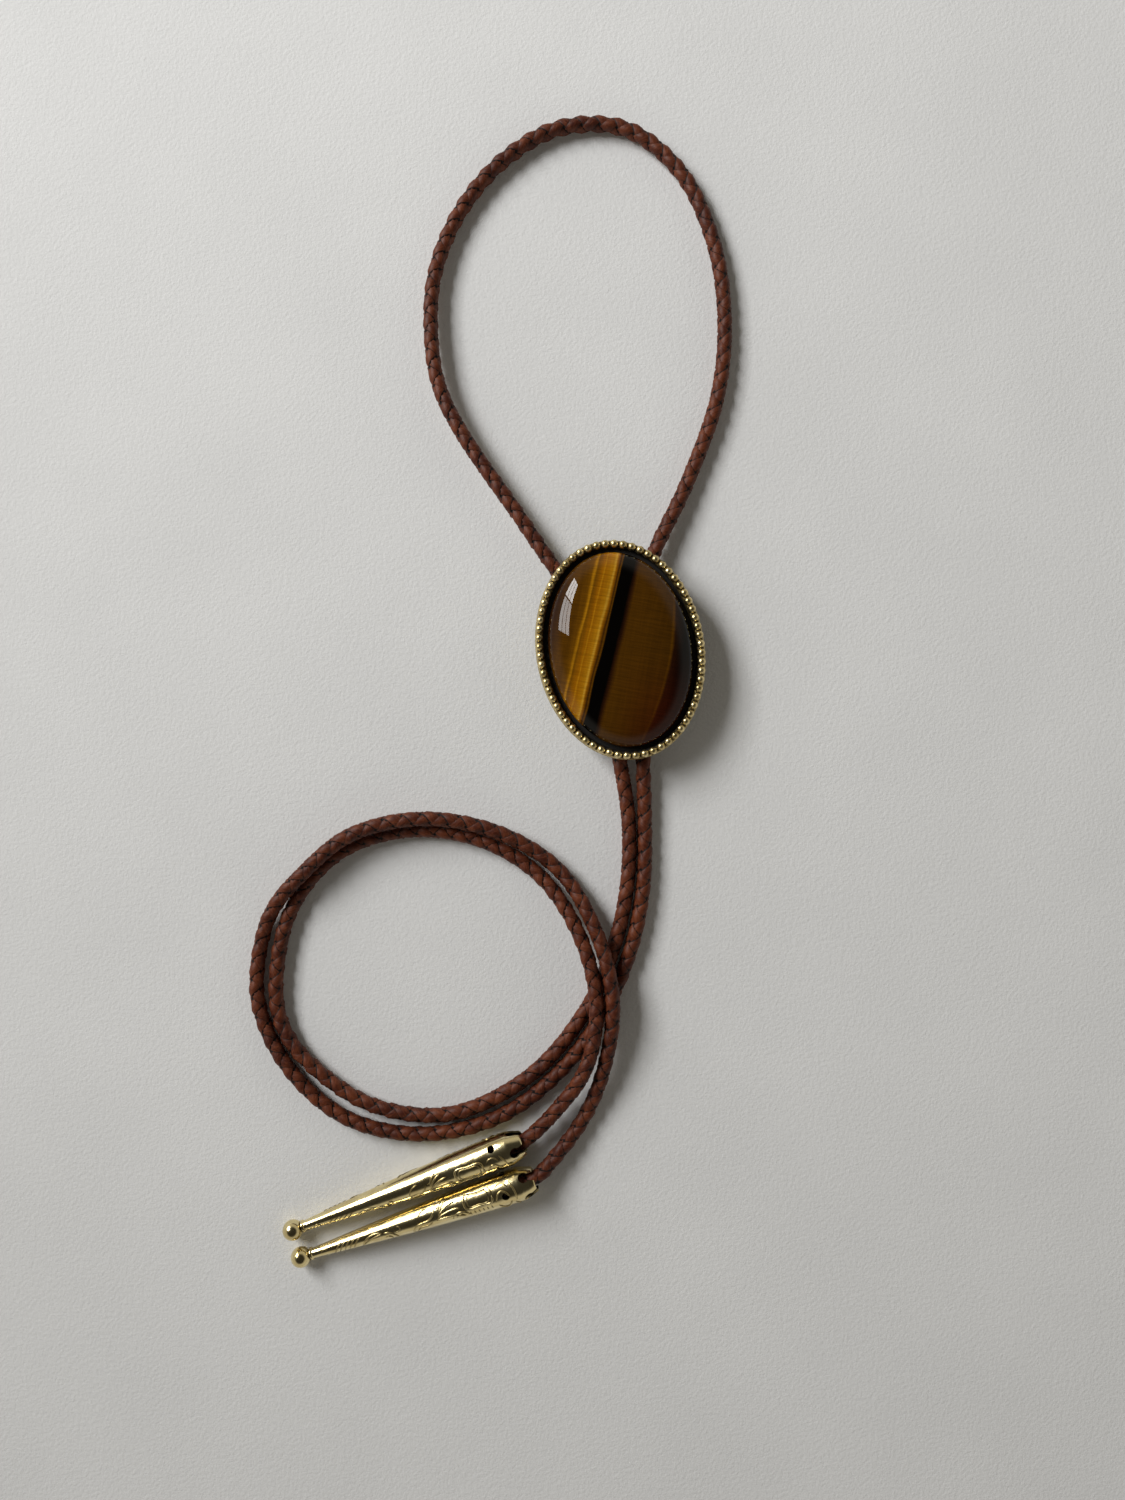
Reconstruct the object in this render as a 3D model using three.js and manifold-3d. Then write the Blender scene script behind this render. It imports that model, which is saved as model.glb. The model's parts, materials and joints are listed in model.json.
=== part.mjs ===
// Bolo tie: an oval slide with a domed stone, on one braided leather cord with two metal tips.
//
// Millimetres, +Z up. The tie lies on the plane z = 0 with its cord laid in one turn below the slide.
// The origin is the middle of the flat back of the clasp, under the slide's centre. +Y points from the
// slide to the top of the neck loop.
import * as THREE from "three";
import * as BufferGeometryUtils from "three/addons/utils/BufferGeometryUtils.js";
import Module from "manifold-3d";

const wasm = await Module();
wasm.setup();

// Driving dimensions.
const GAP = 0.3; // kept between pieces that touch
const SLIDE_LEAN = THREE.MathUtils.degToRad(10.7); // the slide's long axis, turned from +Y towards -X

const CORD_DIAMETER = 3;
const CORD_SIDES = 8;
const CORD_STEP = 11.2; // length of one straight step of a cord's tube

const CLASP_WIDTH = 15.6;
const CLASP_LENGTH = 10;
const CLASP_HEIGHT = 4.8;
const CLASP_CORNER = 0.8;
const CHANNEL_OFFSET = 4.2; // from the clasp's middle to the middle of each cord channel
const CHANNEL_HEIGHT = 3; // of the channels' centre lines above the flat back

const STONE_WIDTH = 29;
const STONE_LENGTH = 39.8;
const STONE_GIRDLE = 1; // straight side below the dome
const STONE_DOME = 5;

const PLATE_THICKNESS = 0.8;
const RIM_HEIGHT = 1.1; // above the plate
const BEAD_DIAMETER = 1.6;
const BEAD_COUNT = 66;
const RECESS_WIDTH = 1; // the ring of open floor between the stone and the rim
const LEDGE_WIDTH = 0.1; // the plate's edge outside the beads

const TIP_BALL_DIAMETER = 4.2;
const TIP_NECK_DIAMETER = 1.9;
const TIP_SHOULDER_DIAMETER = 6.85;
const TIP_SWELL = 1.45; // how early the body widens: 1 is a straight cone
const TIP_MOUTH_DIAMETER = 4.9; // outside, where the bent tabs end
const TIP_WALL = 0.45;
const TIP_BODY_LENGTH = 48.3; // from the ball's centre to the shoulder
const TIP_TAB_LENGTH = 3.2;
const TIP_SIDES = 20;
const TAB_COUNT = 4;
const NOTCH_WIDTH = 1.3;
const NOTCH_ROOT_DIAMETER = 2;
const NOTCH_ROOT_PLACE = 1.3; // past the shoulder
const PIN_HOLE_DIAMETER = 1.6;
const PIN_HOLE_PLACE = 45.2; // from the ball's centre

// Where each tip lies: its ball's centre, its direction from the ball to the mouth, and how far its tabs
// are rolled round its axis. All angles are in degrees.
const TIPS = [
  { name: "tip_upper", x: -67.8, y: -120.1, direction: 21.3, roll: 35 },
  { name: "tip_lower", x: -66.1, y: -125.7, direction: 19.1, roll: -8 },
];

// The cord's centre line as it lies, from inside the upper tip, up through the clasp, round the neck loop
// and back down into the lower tip. Each row is x, y, z.
const LAID = 1.55; // centre of a cord that lies on the surface
const LEFT_TAIL_ROUTE = [
  [-30.5, -105.6, 3.0], [-24.5, -103.2, 3.1], [-19.9, -101.3, 3.2], [-12.6, -94.2, 3.6],
  [-6.9, -85.6, 4.6], [-4.9, -72.1, 5.0], [-8.4, -58.3, 4.0], [-16.6, -46.5, 1.8],
  [-29.2, -39.1, LAID], [-44.1, -37.2, LAID], [-58.3, -41.8, LAID], [-68.1, -53.3, LAID],
  [-71.4, -68.5, LAID], [-70.4, -76.9, LAID], [-65.9, -84.2, LAID], [-52.1, -94.0, LAID],
  [-35.3, -96.1, LAID], [-18.9, -88.4, LAID], [-7.3, -75.0, LAID], [-1.1, -61.3, LAID],
  [1.7, -48.0, LAID], [1.9, -35.0, 1.6], [0.0, -22.3, 2.4], [-3.0, -6.7, 3.0], [-4.1, -0.8, 3.0],
  [-5.2, 4.6, 3.0],
];
const NECK_LOOP_ROUTE = [
  [-9.1, 11.4, 3.1], [-14.8, 19.1, 3.3], [-20.5, 27.5, 3.5], [-32.9, 45.6, 3.5], [-37.0, 53.9, 3.2],
  [-38.8, 62.3, 2.8], [-38.5, 77.6, 2.0], [-33.2, 91.5, LAID], [-24.0, 102.5, LAID],
  [-12.3, 109.1, LAID], [1.2, 108.9, LAID], [12.6, 100.1, LAID], [19.6, 85.4, LAID],
  [21.9, 69.6, LAID], [20.5, 53.4, LAID], [14.3, 35.6, 1.7], [7.2, 20.6, 2.7], [4.7, 13.1, 3.0],
];
const RIGHT_TAIL_ROUTE = [
  [3.1, 6.1, 3.0], [4.2, 0.7, 3.0], [5.2, -5.1, 3.0], [4.9, -22.3, 2.4], [5.3, -35.5, 1.6],
  [5.0, -49.0, LAID], [2.5, -61.6, LAID], [-2.8, -74.0, LAID], [-11.7, -86.6, LAID],
  [-24.7, -96.6, LAID], [-41.0, -100.3, LAID], [-56.9, -96.9, LAID], [-69.1, -86.2, LAID],
  [-75.2, -72.3, LAID], [-73.9, -58.3, 1.8], [-71.0, -52.2, 2.9], [-66.4, -46.9, 4.1],
  [-55.9, -38.1, 4.4], [-41.0, -34.6, 4.2], [-25.0, -37.5, 3.0], [-12.4, -45.5, 2.0],
  [-4.7, -58.4, 4.3], [-1.5, -72.0, 5.0], [-3.1, -85.8, 3.2], [-7.2, -96.6, LAID],
  [-13.5, -105.0, 2.4], [-17.3, -108.7, 3.0], [-22.0, -110.4, 3.1], [-28.3, -112.6, 3.0],
];

const GOLD = new THREE.MeshStandardMaterial({ color: 0xc2a45a, roughness: 0.3, metalness: 1 });
const TIGER_EYE = new THREE.MeshStandardMaterial({ color: 0x6e4410, roughness: 0.15, metalness: 0 });
const LEATHER = new THREE.MeshStandardMaterial({ color: 0x6f3526, roughness: 0.55, metalness: 0 });

// A three.js geometry as a solid that can be cut and joined.
function toSolid(geometry) {
  const bare = geometry.index ? geometry.toNonIndexed() : geometry.clone();
  bare.deleteAttribute("normal");
  bare.deleteAttribute("uv");
  const merged = BufferGeometryUtils.mergeVertices(bare, 1e-4);
  return new wasm.Manifold(
    new wasm.Mesh({
      numProp: 3,
      vertProperties: new Float32Array(merged.attributes.position.array),
      triVerts: new Uint32Array(merged.index.array),
    }),
  );
}

// The solid back as a geometry.
function toGeometry(solid) {
  const cut = solid.getMesh();
  const geometry = new THREE.BufferGeometry();
  geometry.setAttribute("position", new THREE.BufferAttribute(cut.vertProperties, 3));
  geometry.setIndex(new THREE.BufferAttribute(cut.triVerts, 1));
  geometry.computeVertexNormals();
  return geometry;
}

function namedMesh(name, geometry, material) {
  const mesh = new THREE.Mesh(geometry, material.clone());
  mesh.name = name;
  return mesh;
}

// An oval outline. Its half axes are the stone's, grown by a margin all round.
function oval(margin, Kind = THREE.Shape) {
  const outline = new Kind();
  outline.absellipse(0, 0, STONE_WIDTH / 2 + margin, STONE_LENGTH / 2 + margin, 0, 2 * Math.PI);
  return outline;
}

// A flat oval, or an oval ring where it has an inner margin, from one height to another.
function ovalSlab({ outer, inner, bottom, top }) {
  const outline = oval(outer);
  if (inner !== undefined) {
    outline.holes.push(oval(inner, THREE.Path));
  }
  const slab = new THREE.ExtrudeGeometry(outline, {
    depth: top - bottom,
    bevelEnabled: false,
    curveSegments: 64,
  });
  return slab.translate(0, 0, bottom);
}

// The slide's metal in one casting: back plate, rim and the row of beads on the rim.
function slideSetting() {
  const plateBottom = CLASP_HEIGHT + GAP;
  const plateTop = plateBottom + PLATE_THICKNESS;
  const rimTop = plateTop + RIM_HEIGHT;
  const rimInner = RECESS_WIDTH;
  const rimOuter = rimInner + BEAD_DIAMETER;
  const beadLine = (rimInner + rimOuter) / 2;

  const plate = ovalSlab({ outer: rimOuter + LEDGE_WIDTH, bottom: plateBottom, top: plateTop });
  const rim = ovalSlab({ outer: rimOuter, inner: rimInner, bottom: plateBottom, top: rimTop });
  let solid = toSolid(plate).add(toSolid(rim));

  const thread = new THREE.EllipseCurve(0, 0, STONE_WIDTH / 2 + beadLine, STONE_LENGTH / 2 + beadLine);
  for (const place of thread.getSpacedPoints(BEAD_COUNT).slice(0, BEAD_COUNT)) {
    const bead = new THREE.SphereGeometry(BEAD_DIAMETER / 2, 6, 4);
    bead.rotateX(Math.PI / 2);
    bead.translate(place.x, place.y, rimTop);
    solid = solid.add(toSolid(bead));
  }
  return toGeometry(solid);
}

// The domed oval stone: flat base, straight girdle and a round dome.
function stoneCabochon() {
  const domeSteps = 9;
  const profile = [new THREE.Vector2(0, 0), new THREE.Vector2(1, 0)];
  for (let i = 0; i < domeSteps; i += 1) {
    const angle = (i / domeSteps) * (Math.PI / 2);
    profile.push(new THREE.Vector2(Math.cos(angle), STONE_GIRDLE + STONE_DOME * Math.sin(angle)));
  }
  profile.push(new THREE.Vector2(0, STONE_GIRDLE + STONE_DOME));
  const stone = new THREE.LatheGeometry(profile, 48);
  stone.rotateX(Math.PI / 2);
  stone.scale(STONE_WIDTH / 2, STONE_LENGTH / 2, 1);
  stone.translate(0, 0, CLASP_HEIGHT + PLATE_THICKNESS + 2 * GAP);
  return stone;
}

// The clasp: a flat-backed block with two round-bottomed channels, open towards the slide.
function cordClasp() {
  const side = CLASP_WIDTH / 2;
  const channel = CORD_DIAMETER / 2 + GAP;
  const outline = new THREE.Shape();
  outline.moveTo(-side + CLASP_CORNER, 0);
  outline.lineTo(side - CLASP_CORNER, 0);
  outline.lineTo(side, CLASP_CORNER);
  outline.lineTo(side, CLASP_HEIGHT);
  for (const middle of [CHANNEL_OFFSET, -CHANNEL_OFFSET]) {
    outline.lineTo(middle + channel, CLASP_HEIGHT);
    outline.lineTo(middle + channel, CHANNEL_HEIGHT);
    outline.absarc(middle, CHANNEL_HEIGHT, channel, 0, -Math.PI, true);
    outline.lineTo(middle - channel, CLASP_HEIGHT);
  }
  outline.lineTo(-side, CLASP_HEIGHT);
  outline.lineTo(-side, CLASP_CORNER);
  outline.closePath();
  const clasp = new THREE.ExtrudeGeometry(outline, {
    depth: CLASP_LENGTH,
    bevelEnabled: false,
    curveSegments: 8,
  });
  clasp.rotateX(Math.PI / 2);
  clasp.translate(0, CLASP_LENGTH / 2, 0);
  return clasp;
}

// One stretch of a longer curve, between two lengths along it.
class Stretch extends THREE.Curve {
  constructor(whole, start, end) {
    super();
    this.whole = whole;
    this.start = start / whole.getLength();
    this.end = end / whole.getLength();
  }

  getPoint(t, target) {
    return this.whole.getPointAt(this.start + (this.end - this.start) * t, target);
  }
}

// The cord's section: a regular polygon as wide as the cord.
function cordSection() {
  const corners = [];
  for (let i = 0; i < CORD_SIDES; i += 1) {
    const angle = (i / CORD_SIDES) * 2 * Math.PI;
    corners.push(new THREE.Vector2(Math.cos(angle), Math.sin(angle)).multiplyScalar(CORD_DIAMETER / 2));
  }
  return new THREE.Shape(corners);
}

// The three plain tubes that stand for the one cord. They meet just above the clasp.
function cordTubes() {
  const route = [...LEFT_TAIL_ROUTE, ...NECK_LOOP_ROUTE, ...RIGHT_TAIL_ROUTE];
  const path = new THREE.CatmullRomCurve3(route.map((point) => new THREE.Vector3(...point)));
  const finePieces = 20; // the curve is measured in this many pieces between two points of the route
  path.arcLengthDivisions = finePieces * (route.length - 1);
  const lengths = path.getLengths();
  const lengthAt = (index) => lengths[finePieces * index];

  const leftJoin = lengthAt(LEFT_TAIL_ROUTE.length - 1);
  const rightJoin = lengthAt(LEFT_TAIL_ROUTE.length + NECK_LOOP_ROUTE.length);
  const stretches = {
    cord_left_tail: [0, leftJoin - GAP / 2],
    cord_neck_loop: [leftJoin + GAP / 2, rightJoin - GAP / 2],
    cord_right_tail: [rightJoin + GAP / 2, path.getLength()],
  };
  return Object.entries(stretches).map(([name, [start, end]]) => {
    const tube = new THREE.ExtrudeGeometry(cordSection(), {
      steps: Math.round((end - start) / CORD_STEP),
      extrudePath: new Stretch(path, start, end),
      bevelEnabled: false,
    });
    return namedMesh(name, tube, LEATHER);
  });
}

// The tip's outer body from its neck to its shoulder, in rings. It widens fast at first, then slower.
function tipRings() {
  const neck = TIP_NECK_DIAMETER / 2;
  const shoulder = TIP_SHOULDER_DIAMETER / 2;
  const neckPlace = Math.sqrt((TIP_BALL_DIAMETER / 2) ** 2 - neck ** 2);
  const ringCount = 6;
  const rings = [];
  for (let i = 0; i <= ringCount; i += 1) {
    const part = i / ringCount;
    const radius = neck + (shoulder - neck) * (1 - (1 - part) ** TIP_SWELL);
    rings.push({ radius, along: neckPlace + (TIP_BODY_LENGTH - neckPlace) * part });
  }
  return rings;
}

// The hollow tapered tip before it is cut. Its axis is +X and its ball's centre is the origin.
function tipBody() {
  const ball = TIP_BALL_DIAMETER / 2;
  const mouth = TIP_MOUTH_DIAMETER / 2;
  const tipEnd = TIP_BODY_LENGTH + TIP_TAB_LENGTH;
  const rings = tipRings();
  const neckAngle = Math.asin(rings[0].radius / ball);
  const ballSteps = 6;
  const profile = [new THREE.Vector2(0, -ball)];
  for (let i = 1; i < ballSteps; i += 1) {
    const angle = Math.PI - (i / ballSteps) * (Math.PI - neckAngle);
    profile.push(new THREE.Vector2(ball * Math.sin(angle), ball * Math.cos(angle)));
  }
  profile.push(
    ...rings.map(({ radius, along }) => new THREE.Vector2(radius, along)),
    new THREE.Vector2(mouth, tipEnd),
    new THREE.Vector2(mouth - TIP_WALL, tipEnd),
    ...rings.slice(1).reverse().map(({ radius, along }) => new THREE.Vector2(radius - TIP_WALL, along)),
    new THREE.Vector2(0, rings[1].along),
  );
  return new THREE.LatheGeometry(profile, TIP_SIDES).rotateZ(-Math.PI / 2);
}

// A round bar from the tip's axis outwards, at a place along the axis.
function radialBar(diameter, along) {
  const bar = new THREE.CylinderGeometry(diameter / 2, diameter / 2, TIP_SHOULDER_DIAMETER, 10);
  bar.rotateX(Math.PI / 2);
  return bar.translate(along, 0, TIP_SHOULDER_DIAMETER / 2);
}

// One cord tip: the tapered body, with notches between its tabs and a pin hole behind each tab.
function cordTip(roll) {
  let solid = toSolid(tipBody());
  const notchPlace = TIP_BODY_LENGTH + NOTCH_ROOT_PLACE;
  const slot = new THREE.BoxGeometry(TIP_TAB_LENGTH, NOTCH_WIDTH, TIP_SHOULDER_DIAMETER);
  slot.translate(notchPlace + TIP_TAB_LENGTH / 2, 0, TIP_SHOULDER_DIAMETER / 2);
  const notch = toSolid(slot).add(toSolid(radialBar(NOTCH_ROOT_DIAMETER, notchPlace)));
  const pinHole = toSolid(radialBar(PIN_HOLE_DIAMETER, PIN_HOLE_PLACE));
  for (let i = 0; i < TAB_COUNT; i += 1) {
    const tabAngle = (360 * i) / TAB_COUNT - roll;
    solid = solid.subtract(pinHole.rotate([tabAngle, 0, 0]));
    solid = solid.subtract(notch.rotate([tabAngle + 180 / TAB_COUNT, 0, 0]));
  }
  return toGeometry(solid);
}

const slide = new THREE.Group();
slide.rotation.z = SLIDE_LEAN;
slide.add(namedMesh("slide_setting", slideSetting(), GOLD));
slide.add(namedMesh("stone_cabochon", stoneCabochon(), TIGER_EYE));
slide.add(namedMesh("cord_clasp", cordClasp(), GOLD));

const cord = new THREE.Group();
cord.add(...cordTubes());

// Each tip rests on its ball and near its shoulder, so its mouth end is the higher one.
const tipPitches = tipRings().map(({ radius, along }) => Math.atan2(radius - TIP_BALL_DIAMETER / 2, along));
const tipPitch = Math.max(...tipPitches);
const tips = new THREE.Group();
for (const { name, x, y, direction, roll } of TIPS) {
  const laid = new THREE.Group();
  laid.position.set(x, y, TIP_BALL_DIAMETER / 2);
  laid.rotation.z = THREE.MathUtils.degToRad(direction);
  const tip = namedMesh(name, cordTip(roll), GOLD);
  tip.rotation.y = -tipPitch;
  laid.add(tip);
  tips.add(laid);
}

const group = new THREE.Group();
group.add(slide, cord, tips);

export default group;
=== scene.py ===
"""Bolo tie: an oval tiger's eye slide on one braided leather cord, with two embossed metal tips.

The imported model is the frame. Each sub-assembly is a class that builds its pieces in metres, in the
frame of the model, and dresses them in a finish. The tie lies on the plane z = 0.
"""

from __future__ import annotations

import json
import logging
import math
from contextlib import contextmanager
from dataclasses import dataclass, field
from enum import Enum
from typing import Callable, Iterator, Mapping, Sequence

import bmesh
import bpy
import numpy as np
from mathutils import Matrix, Vector

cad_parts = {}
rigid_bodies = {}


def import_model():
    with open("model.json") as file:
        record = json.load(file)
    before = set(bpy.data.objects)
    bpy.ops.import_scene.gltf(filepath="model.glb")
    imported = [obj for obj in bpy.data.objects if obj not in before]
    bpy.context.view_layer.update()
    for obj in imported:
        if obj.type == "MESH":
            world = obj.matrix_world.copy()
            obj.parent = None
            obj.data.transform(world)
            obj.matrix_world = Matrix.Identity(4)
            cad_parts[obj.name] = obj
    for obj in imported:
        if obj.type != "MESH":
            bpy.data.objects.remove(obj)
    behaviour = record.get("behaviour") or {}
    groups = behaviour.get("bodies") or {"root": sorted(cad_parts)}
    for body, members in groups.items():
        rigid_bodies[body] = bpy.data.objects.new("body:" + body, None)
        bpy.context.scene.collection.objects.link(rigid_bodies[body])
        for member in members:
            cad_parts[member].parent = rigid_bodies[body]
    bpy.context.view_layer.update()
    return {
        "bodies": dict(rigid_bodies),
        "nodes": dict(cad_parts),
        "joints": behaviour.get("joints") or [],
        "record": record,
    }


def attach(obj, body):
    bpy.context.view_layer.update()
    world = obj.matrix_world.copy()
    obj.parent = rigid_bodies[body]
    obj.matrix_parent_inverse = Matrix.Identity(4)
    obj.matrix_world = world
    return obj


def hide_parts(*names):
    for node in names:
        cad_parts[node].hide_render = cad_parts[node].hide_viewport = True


LOG = logging.getLogger("bolo_tie")

MM = 0.001
ROOT = "root"
WELD = 1e-7  # points nearer than this are one point, in metres
SAME_HEIGHT = 1e-6  # heights nearer than this are one height, in metres
SAME_SIZE = 0.02  # how far a side's middle may lie inside its ring, as a share of the ring's size

Colour = tuple[float, float, float, float]
Point = tuple[float, float, float]
Pair = tuple[float, float]


# --- Shader nodes ------------------------------------------------------------------------------------


@dataclass(frozen=True)
class Value:
    """One output of a node. Arithmetic on it adds Math nodes."""

    shader: "Shader"
    socket: bpy.types.NodeSocket

    def __add__(self, other: Value | float) -> Value:
        """This plus other."""
        return self.shader.maths("ADD", self, other)

    def __radd__(self, other: float) -> Value:
        """other plus this."""
        return self.shader.maths("ADD", other, self)

    def __sub__(self, other: Value | float) -> Value:
        """This less other."""
        return self.shader.maths("SUBTRACT", self, other)

    def __rsub__(self, other: float) -> Value:
        """other less this."""
        return self.shader.maths("SUBTRACT", other, self)

    def __mul__(self, other: Value | float) -> Value:
        """This times other."""
        return self.shader.maths("MULTIPLY", self, other)

    def __rmul__(self, other: float) -> Value:
        """other times this."""
        return self.shader.maths("MULTIPLY", other, self)

    def __truediv__(self, other: Value | float) -> Value:
        """This divided by other."""
        return self.shader.maths("DIVIDE", self, other)

    def between(self, low: float, high: float) -> Value:
        """Rises smoothly from 0 to 1, or falls if low is the larger.

        Args:
            low: where it is 0.
            high: where it is 1.

        Returns:
            The share.
        """
        if low > high:
            return 1.0 - self.between(high, low)
        settings = {"interpolation_type": "SMOOTHSTEP"}
        sockets = {"Value": self, "From Min": low, "From Max": high}
        return self.shader.out("MapRange", settings, sockets, "Result")


class Shader:
    """A tree of shader nodes, of a material or of the world."""

    def __init__(self, owner: bpy.types.Material | bpy.types.World) -> None:
        """Empties the owner's node tree and keeps it."""
        owner.use_nodes = True
        self.tree = owner.node_tree
        self.tree.nodes.clear()

    def node(
        self,
        kind: str,
        settings: Mapping[str, object] | None = None,
        sockets: Mapping[str | int, object] | None = None,
    ) -> bpy.types.Node:
        """Adds one node.

        Args:
            kind: the node's type, without its first word.
            settings: what is set first, such as an operation, or a ramp's stops.
            sockets: the value or the link of each input, by its name or number.

        Returns:
            The new node.
        """
        made = self.tree.nodes.new(f"ShaderNode{kind}")
        for name, value in (settings or {}).items():
            if name == "stops":
                self._set_stops(made, value)
            else:
                setattr(made, name, value)
        for name, value in (sockets or {}).items():
            if isinstance(value, Value):
                self.tree.links.new(value.socket, made.inputs[name])
            else:
                made.inputs[name].default_value = value
        return made

    @staticmethod
    def _set_stops(ramp: bpy.types.Node, stops: Sequence[tuple[float, Colour]]) -> None:
        """Gives a colour ramp its stops.

        Args:
            ramp: the Color Ramp node.
            stops: the place from 0 to 1 and the colour of each stop, in order.
        """
        elements = ramp.color_ramp.elements
        while len(elements) < len(stops):
            elements.new(1.0)
        for element, (place, colour) in zip(elements, stops):
            element.position = place
            element.color = colour

    def out(
        self,
        kind: str,
        settings: Mapping[str, object] | None = None,
        sockets: Mapping[str | int, object] | None = None,
        output: str | int = 0,
    ) -> Value:
        """Adds one node and gives one of its outputs.

        Args:
            kind: the node's type, without its first word.
            settings: what is set first.
            sockets: the value or the link of each input.
            output: the name or the number of the output.

        Returns:
            That output.
        """
        return Value(self, self.node(kind, settings, sockets).outputs[output])

    def maths(self, operation: str, first: Value | float, second: Value | float = 0.0) -> Value:
        """Works on one or two numbers.

        Args:
            operation: the Math node's operation.
            first: the first number.
            second: the second number, if the operation has one.

        Returns:
            The result.
        """
        return self.out("Math", {"operation": operation}, {0: first, 1: second})

    def place(self) -> Value:
        """The point's place on the object."""
        return self.out("TexCoord", output="Object")

    def turned_place(self, angle: float, scale: Point) -> Value:
        """The point's place, turned about the upright axis and then scaled.

        Args:
            angle: how far the pattern's axes are turned, in radians.
            scale: the scale along each of the pattern's axes.

        Returns:
            The vector.
        """
        turned = self.out("Mapping", sockets={"Vector": self.place(), "Rotation": (0.0, 0.0, -angle)})
        return self.scaled(turned, scale)

    def scaled(self, vector: Value, scale: Point) -> Value:
        """The vector, multiplied along each axis."""
        return self.out("VectorMath", {"operation": "MULTIPLY"}, {0: vector, 1: scale})

    def parts(self, vector: Value) -> tuple[Value, Value, Value]:
        """The three numbers of a vector."""
        split = self.node("SeparateXYZ", sockets={0: vector})
        x, y, z = split.outputs
        return Value(self, x), Value(self, y), Value(self, z)

    def joined(self, x: Value | float, y: Value | float, z: Value | float) -> Value:
        """A vector of three numbers."""
        return self.out("CombineXYZ", sockets={0: x, 1: y, 2: z})

    def kept(self, name: str) -> Value:
        """A number that the mesh keeps at each of its points."""
        return self.out("Attribute", {"attribute_name": name}, output="Fac")

    def noise(self, vector: Value, scale: float, detail: float, rough: float = 0.5) -> Value:
        """Cloudy noise from 0 to 1.

        Args:
            vector: where the noise is read.
            scale: how many clouds there are in one unit.
            detail: how many finer layers are added.
            rough: how strong the finer layers are.

        Returns:
            The noise.
        """
        sockets = {"Vector": vector, "Scale": scale, "Detail": detail, "Roughness": rough}
        return self.out("TexNoise", sockets=sockets, output=0)

    def ramp(self, value: Value, stops: Sequence[tuple[float, Colour]]) -> Value:
        """The colour that a number has on a ramp."""
        return self.out("ValToRGB", {"stops": stops}, {0: value})

    def mix(self, share: Value | float, first: Value | Colour, second: Value | Colour) -> Value:
        """Goes from the first colour to the second as share goes from 0 to 1."""
        return self.out("Mix", {"data_type": "RGBA"}, {0: share, 6: first, 7: second}, 2)

    def shaded(self, colour: Value | Colour, strength: Value) -> Value:
        """A colour times a number.

        Args:
            colour: the colour.
            strength: the number, which becomes a grey first.

        Returns:
            The colour, darker or lighter.
        """
        grey = self.joined(strength, strength, strength)
        settings = {"data_type": "RGBA", "blend_type": "MULTIPLY"}
        return self.out("Mix", settings, {0: 1.0, 6: colour, 7: grey}, 2)

    def bump(self, height: Value, depth: float) -> Value:
        """Turns a height from 0 to 1 into a normal.

        Args:
            height: the height.
            depth: how far a height of 1 stands out, in metres.

        Returns:
            The normal.
        """
        return self.out("Bump", sockets={"Height": height, "Distance": depth, "Strength": 1.0})

    def surface(self, **sockets: object) -> None:
        """Ends a material in a Principled shader.

        Args:
            sockets: the shader's inputs by name, with _ for a space.
        """
        named = {name.replace("_", " "): value for name, value in sockets.items()}
        shader = self.out("BsdfPrincipled", sockets=named)
        self.node("OutputMaterial", sockets={"Surface": shader})


# --- Finishes ----------------------------------------------------------------------------------------


class Finish:
    """A surface finish: one material, which pieces share."""

    name = "plain"

    def shade(self, shader: Shader) -> None:
        """Adds the finish's nodes."""
        raise NotImplementedError

    def material(self) -> bpy.types.Material:
        """The finish's material, which is made the first time.

        Returns:
            The material.
        """
        made = bpy.data.materials.get(self.name)
        if made is None:
            made = bpy.data.materials.new(self.name)
            self.shade(Shader(made))
        return made

    def dress(self, piece: bpy.types.Object) -> None:
        """Gives a piece this finish and no other."""
        piece.data.materials.clear()
        piece.data.materials.append(self.material())


@dataclass(frozen=True)
class AntiqueGold(Finish):
    """Gold plate with black left in its recesses, and painted shade at the beads' feet, between the beads
    and on the plate's outer side, for the slide's setting.
    """

    name: str = "antique_gold"
    bright: Colour = (0.88, 0.74, 0.41, 1.0)
    deep: Colour = (0.38, 0.28, 0.10, 1.0)
    # the recess's black, also used as painted shade at the beads' feet and between them
    black: Colour = (0.008, 0.006, 0.005, 1.0)
    cloud_scale: float = 420.0
    fine_scale: float = 3800.0
    patchiness: float = 0.45  # how unevenly the black has worn off, and how unevenly the painted shade lies
    grain_depth: float = 0.03 * MM

    def shade(self, shader: Shader) -> None:
        """Adds the finish's nodes. The mesh keeps how dark each point is under the name antique: black in
        the recess, and painted shade at the beads' feet, between them and on the outer side.

        Args:
            shader: the material's tree.
        """
        place = shader.place()
        cloud = shader.noise(place, self.cloud_scale, 3.0)
        fine = shader.noise(place, self.fine_scale, 2.0)
        # dark: the recess's black, plus painted shade at the beads' feet, between the beads and on the
        # plate's outer side
        dark = shader.kept("antique")
        antique_and_shade_mask = (dark + (cloud - 0.5) * self.patchiness).between(0.28, 0.8)
        gold = shader.mix(cloud.between(0.35, 0.7), self.deep, self.bright)
        # painted highlight and shade: open gold is lightened toward bright, and gold near the dark places
        # goes deep
        gold = shader.mix(dark.between(0.0, 0.5), shader.mix(0.3, gold, self.bright), self.deep)
        shader.surface(
            Base_Color=shader.mix(antique_and_shade_mask, gold, self.black),
            Metallic=1.0 - antique_and_shade_mask * 0.85,
            Roughness=0.26 + fine * 0.12 + antique_and_shade_mask * 0.35,
            Normal=shader.bump(cloud * 0.6 + fine * 0.4, self.grain_depth),
        )


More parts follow.
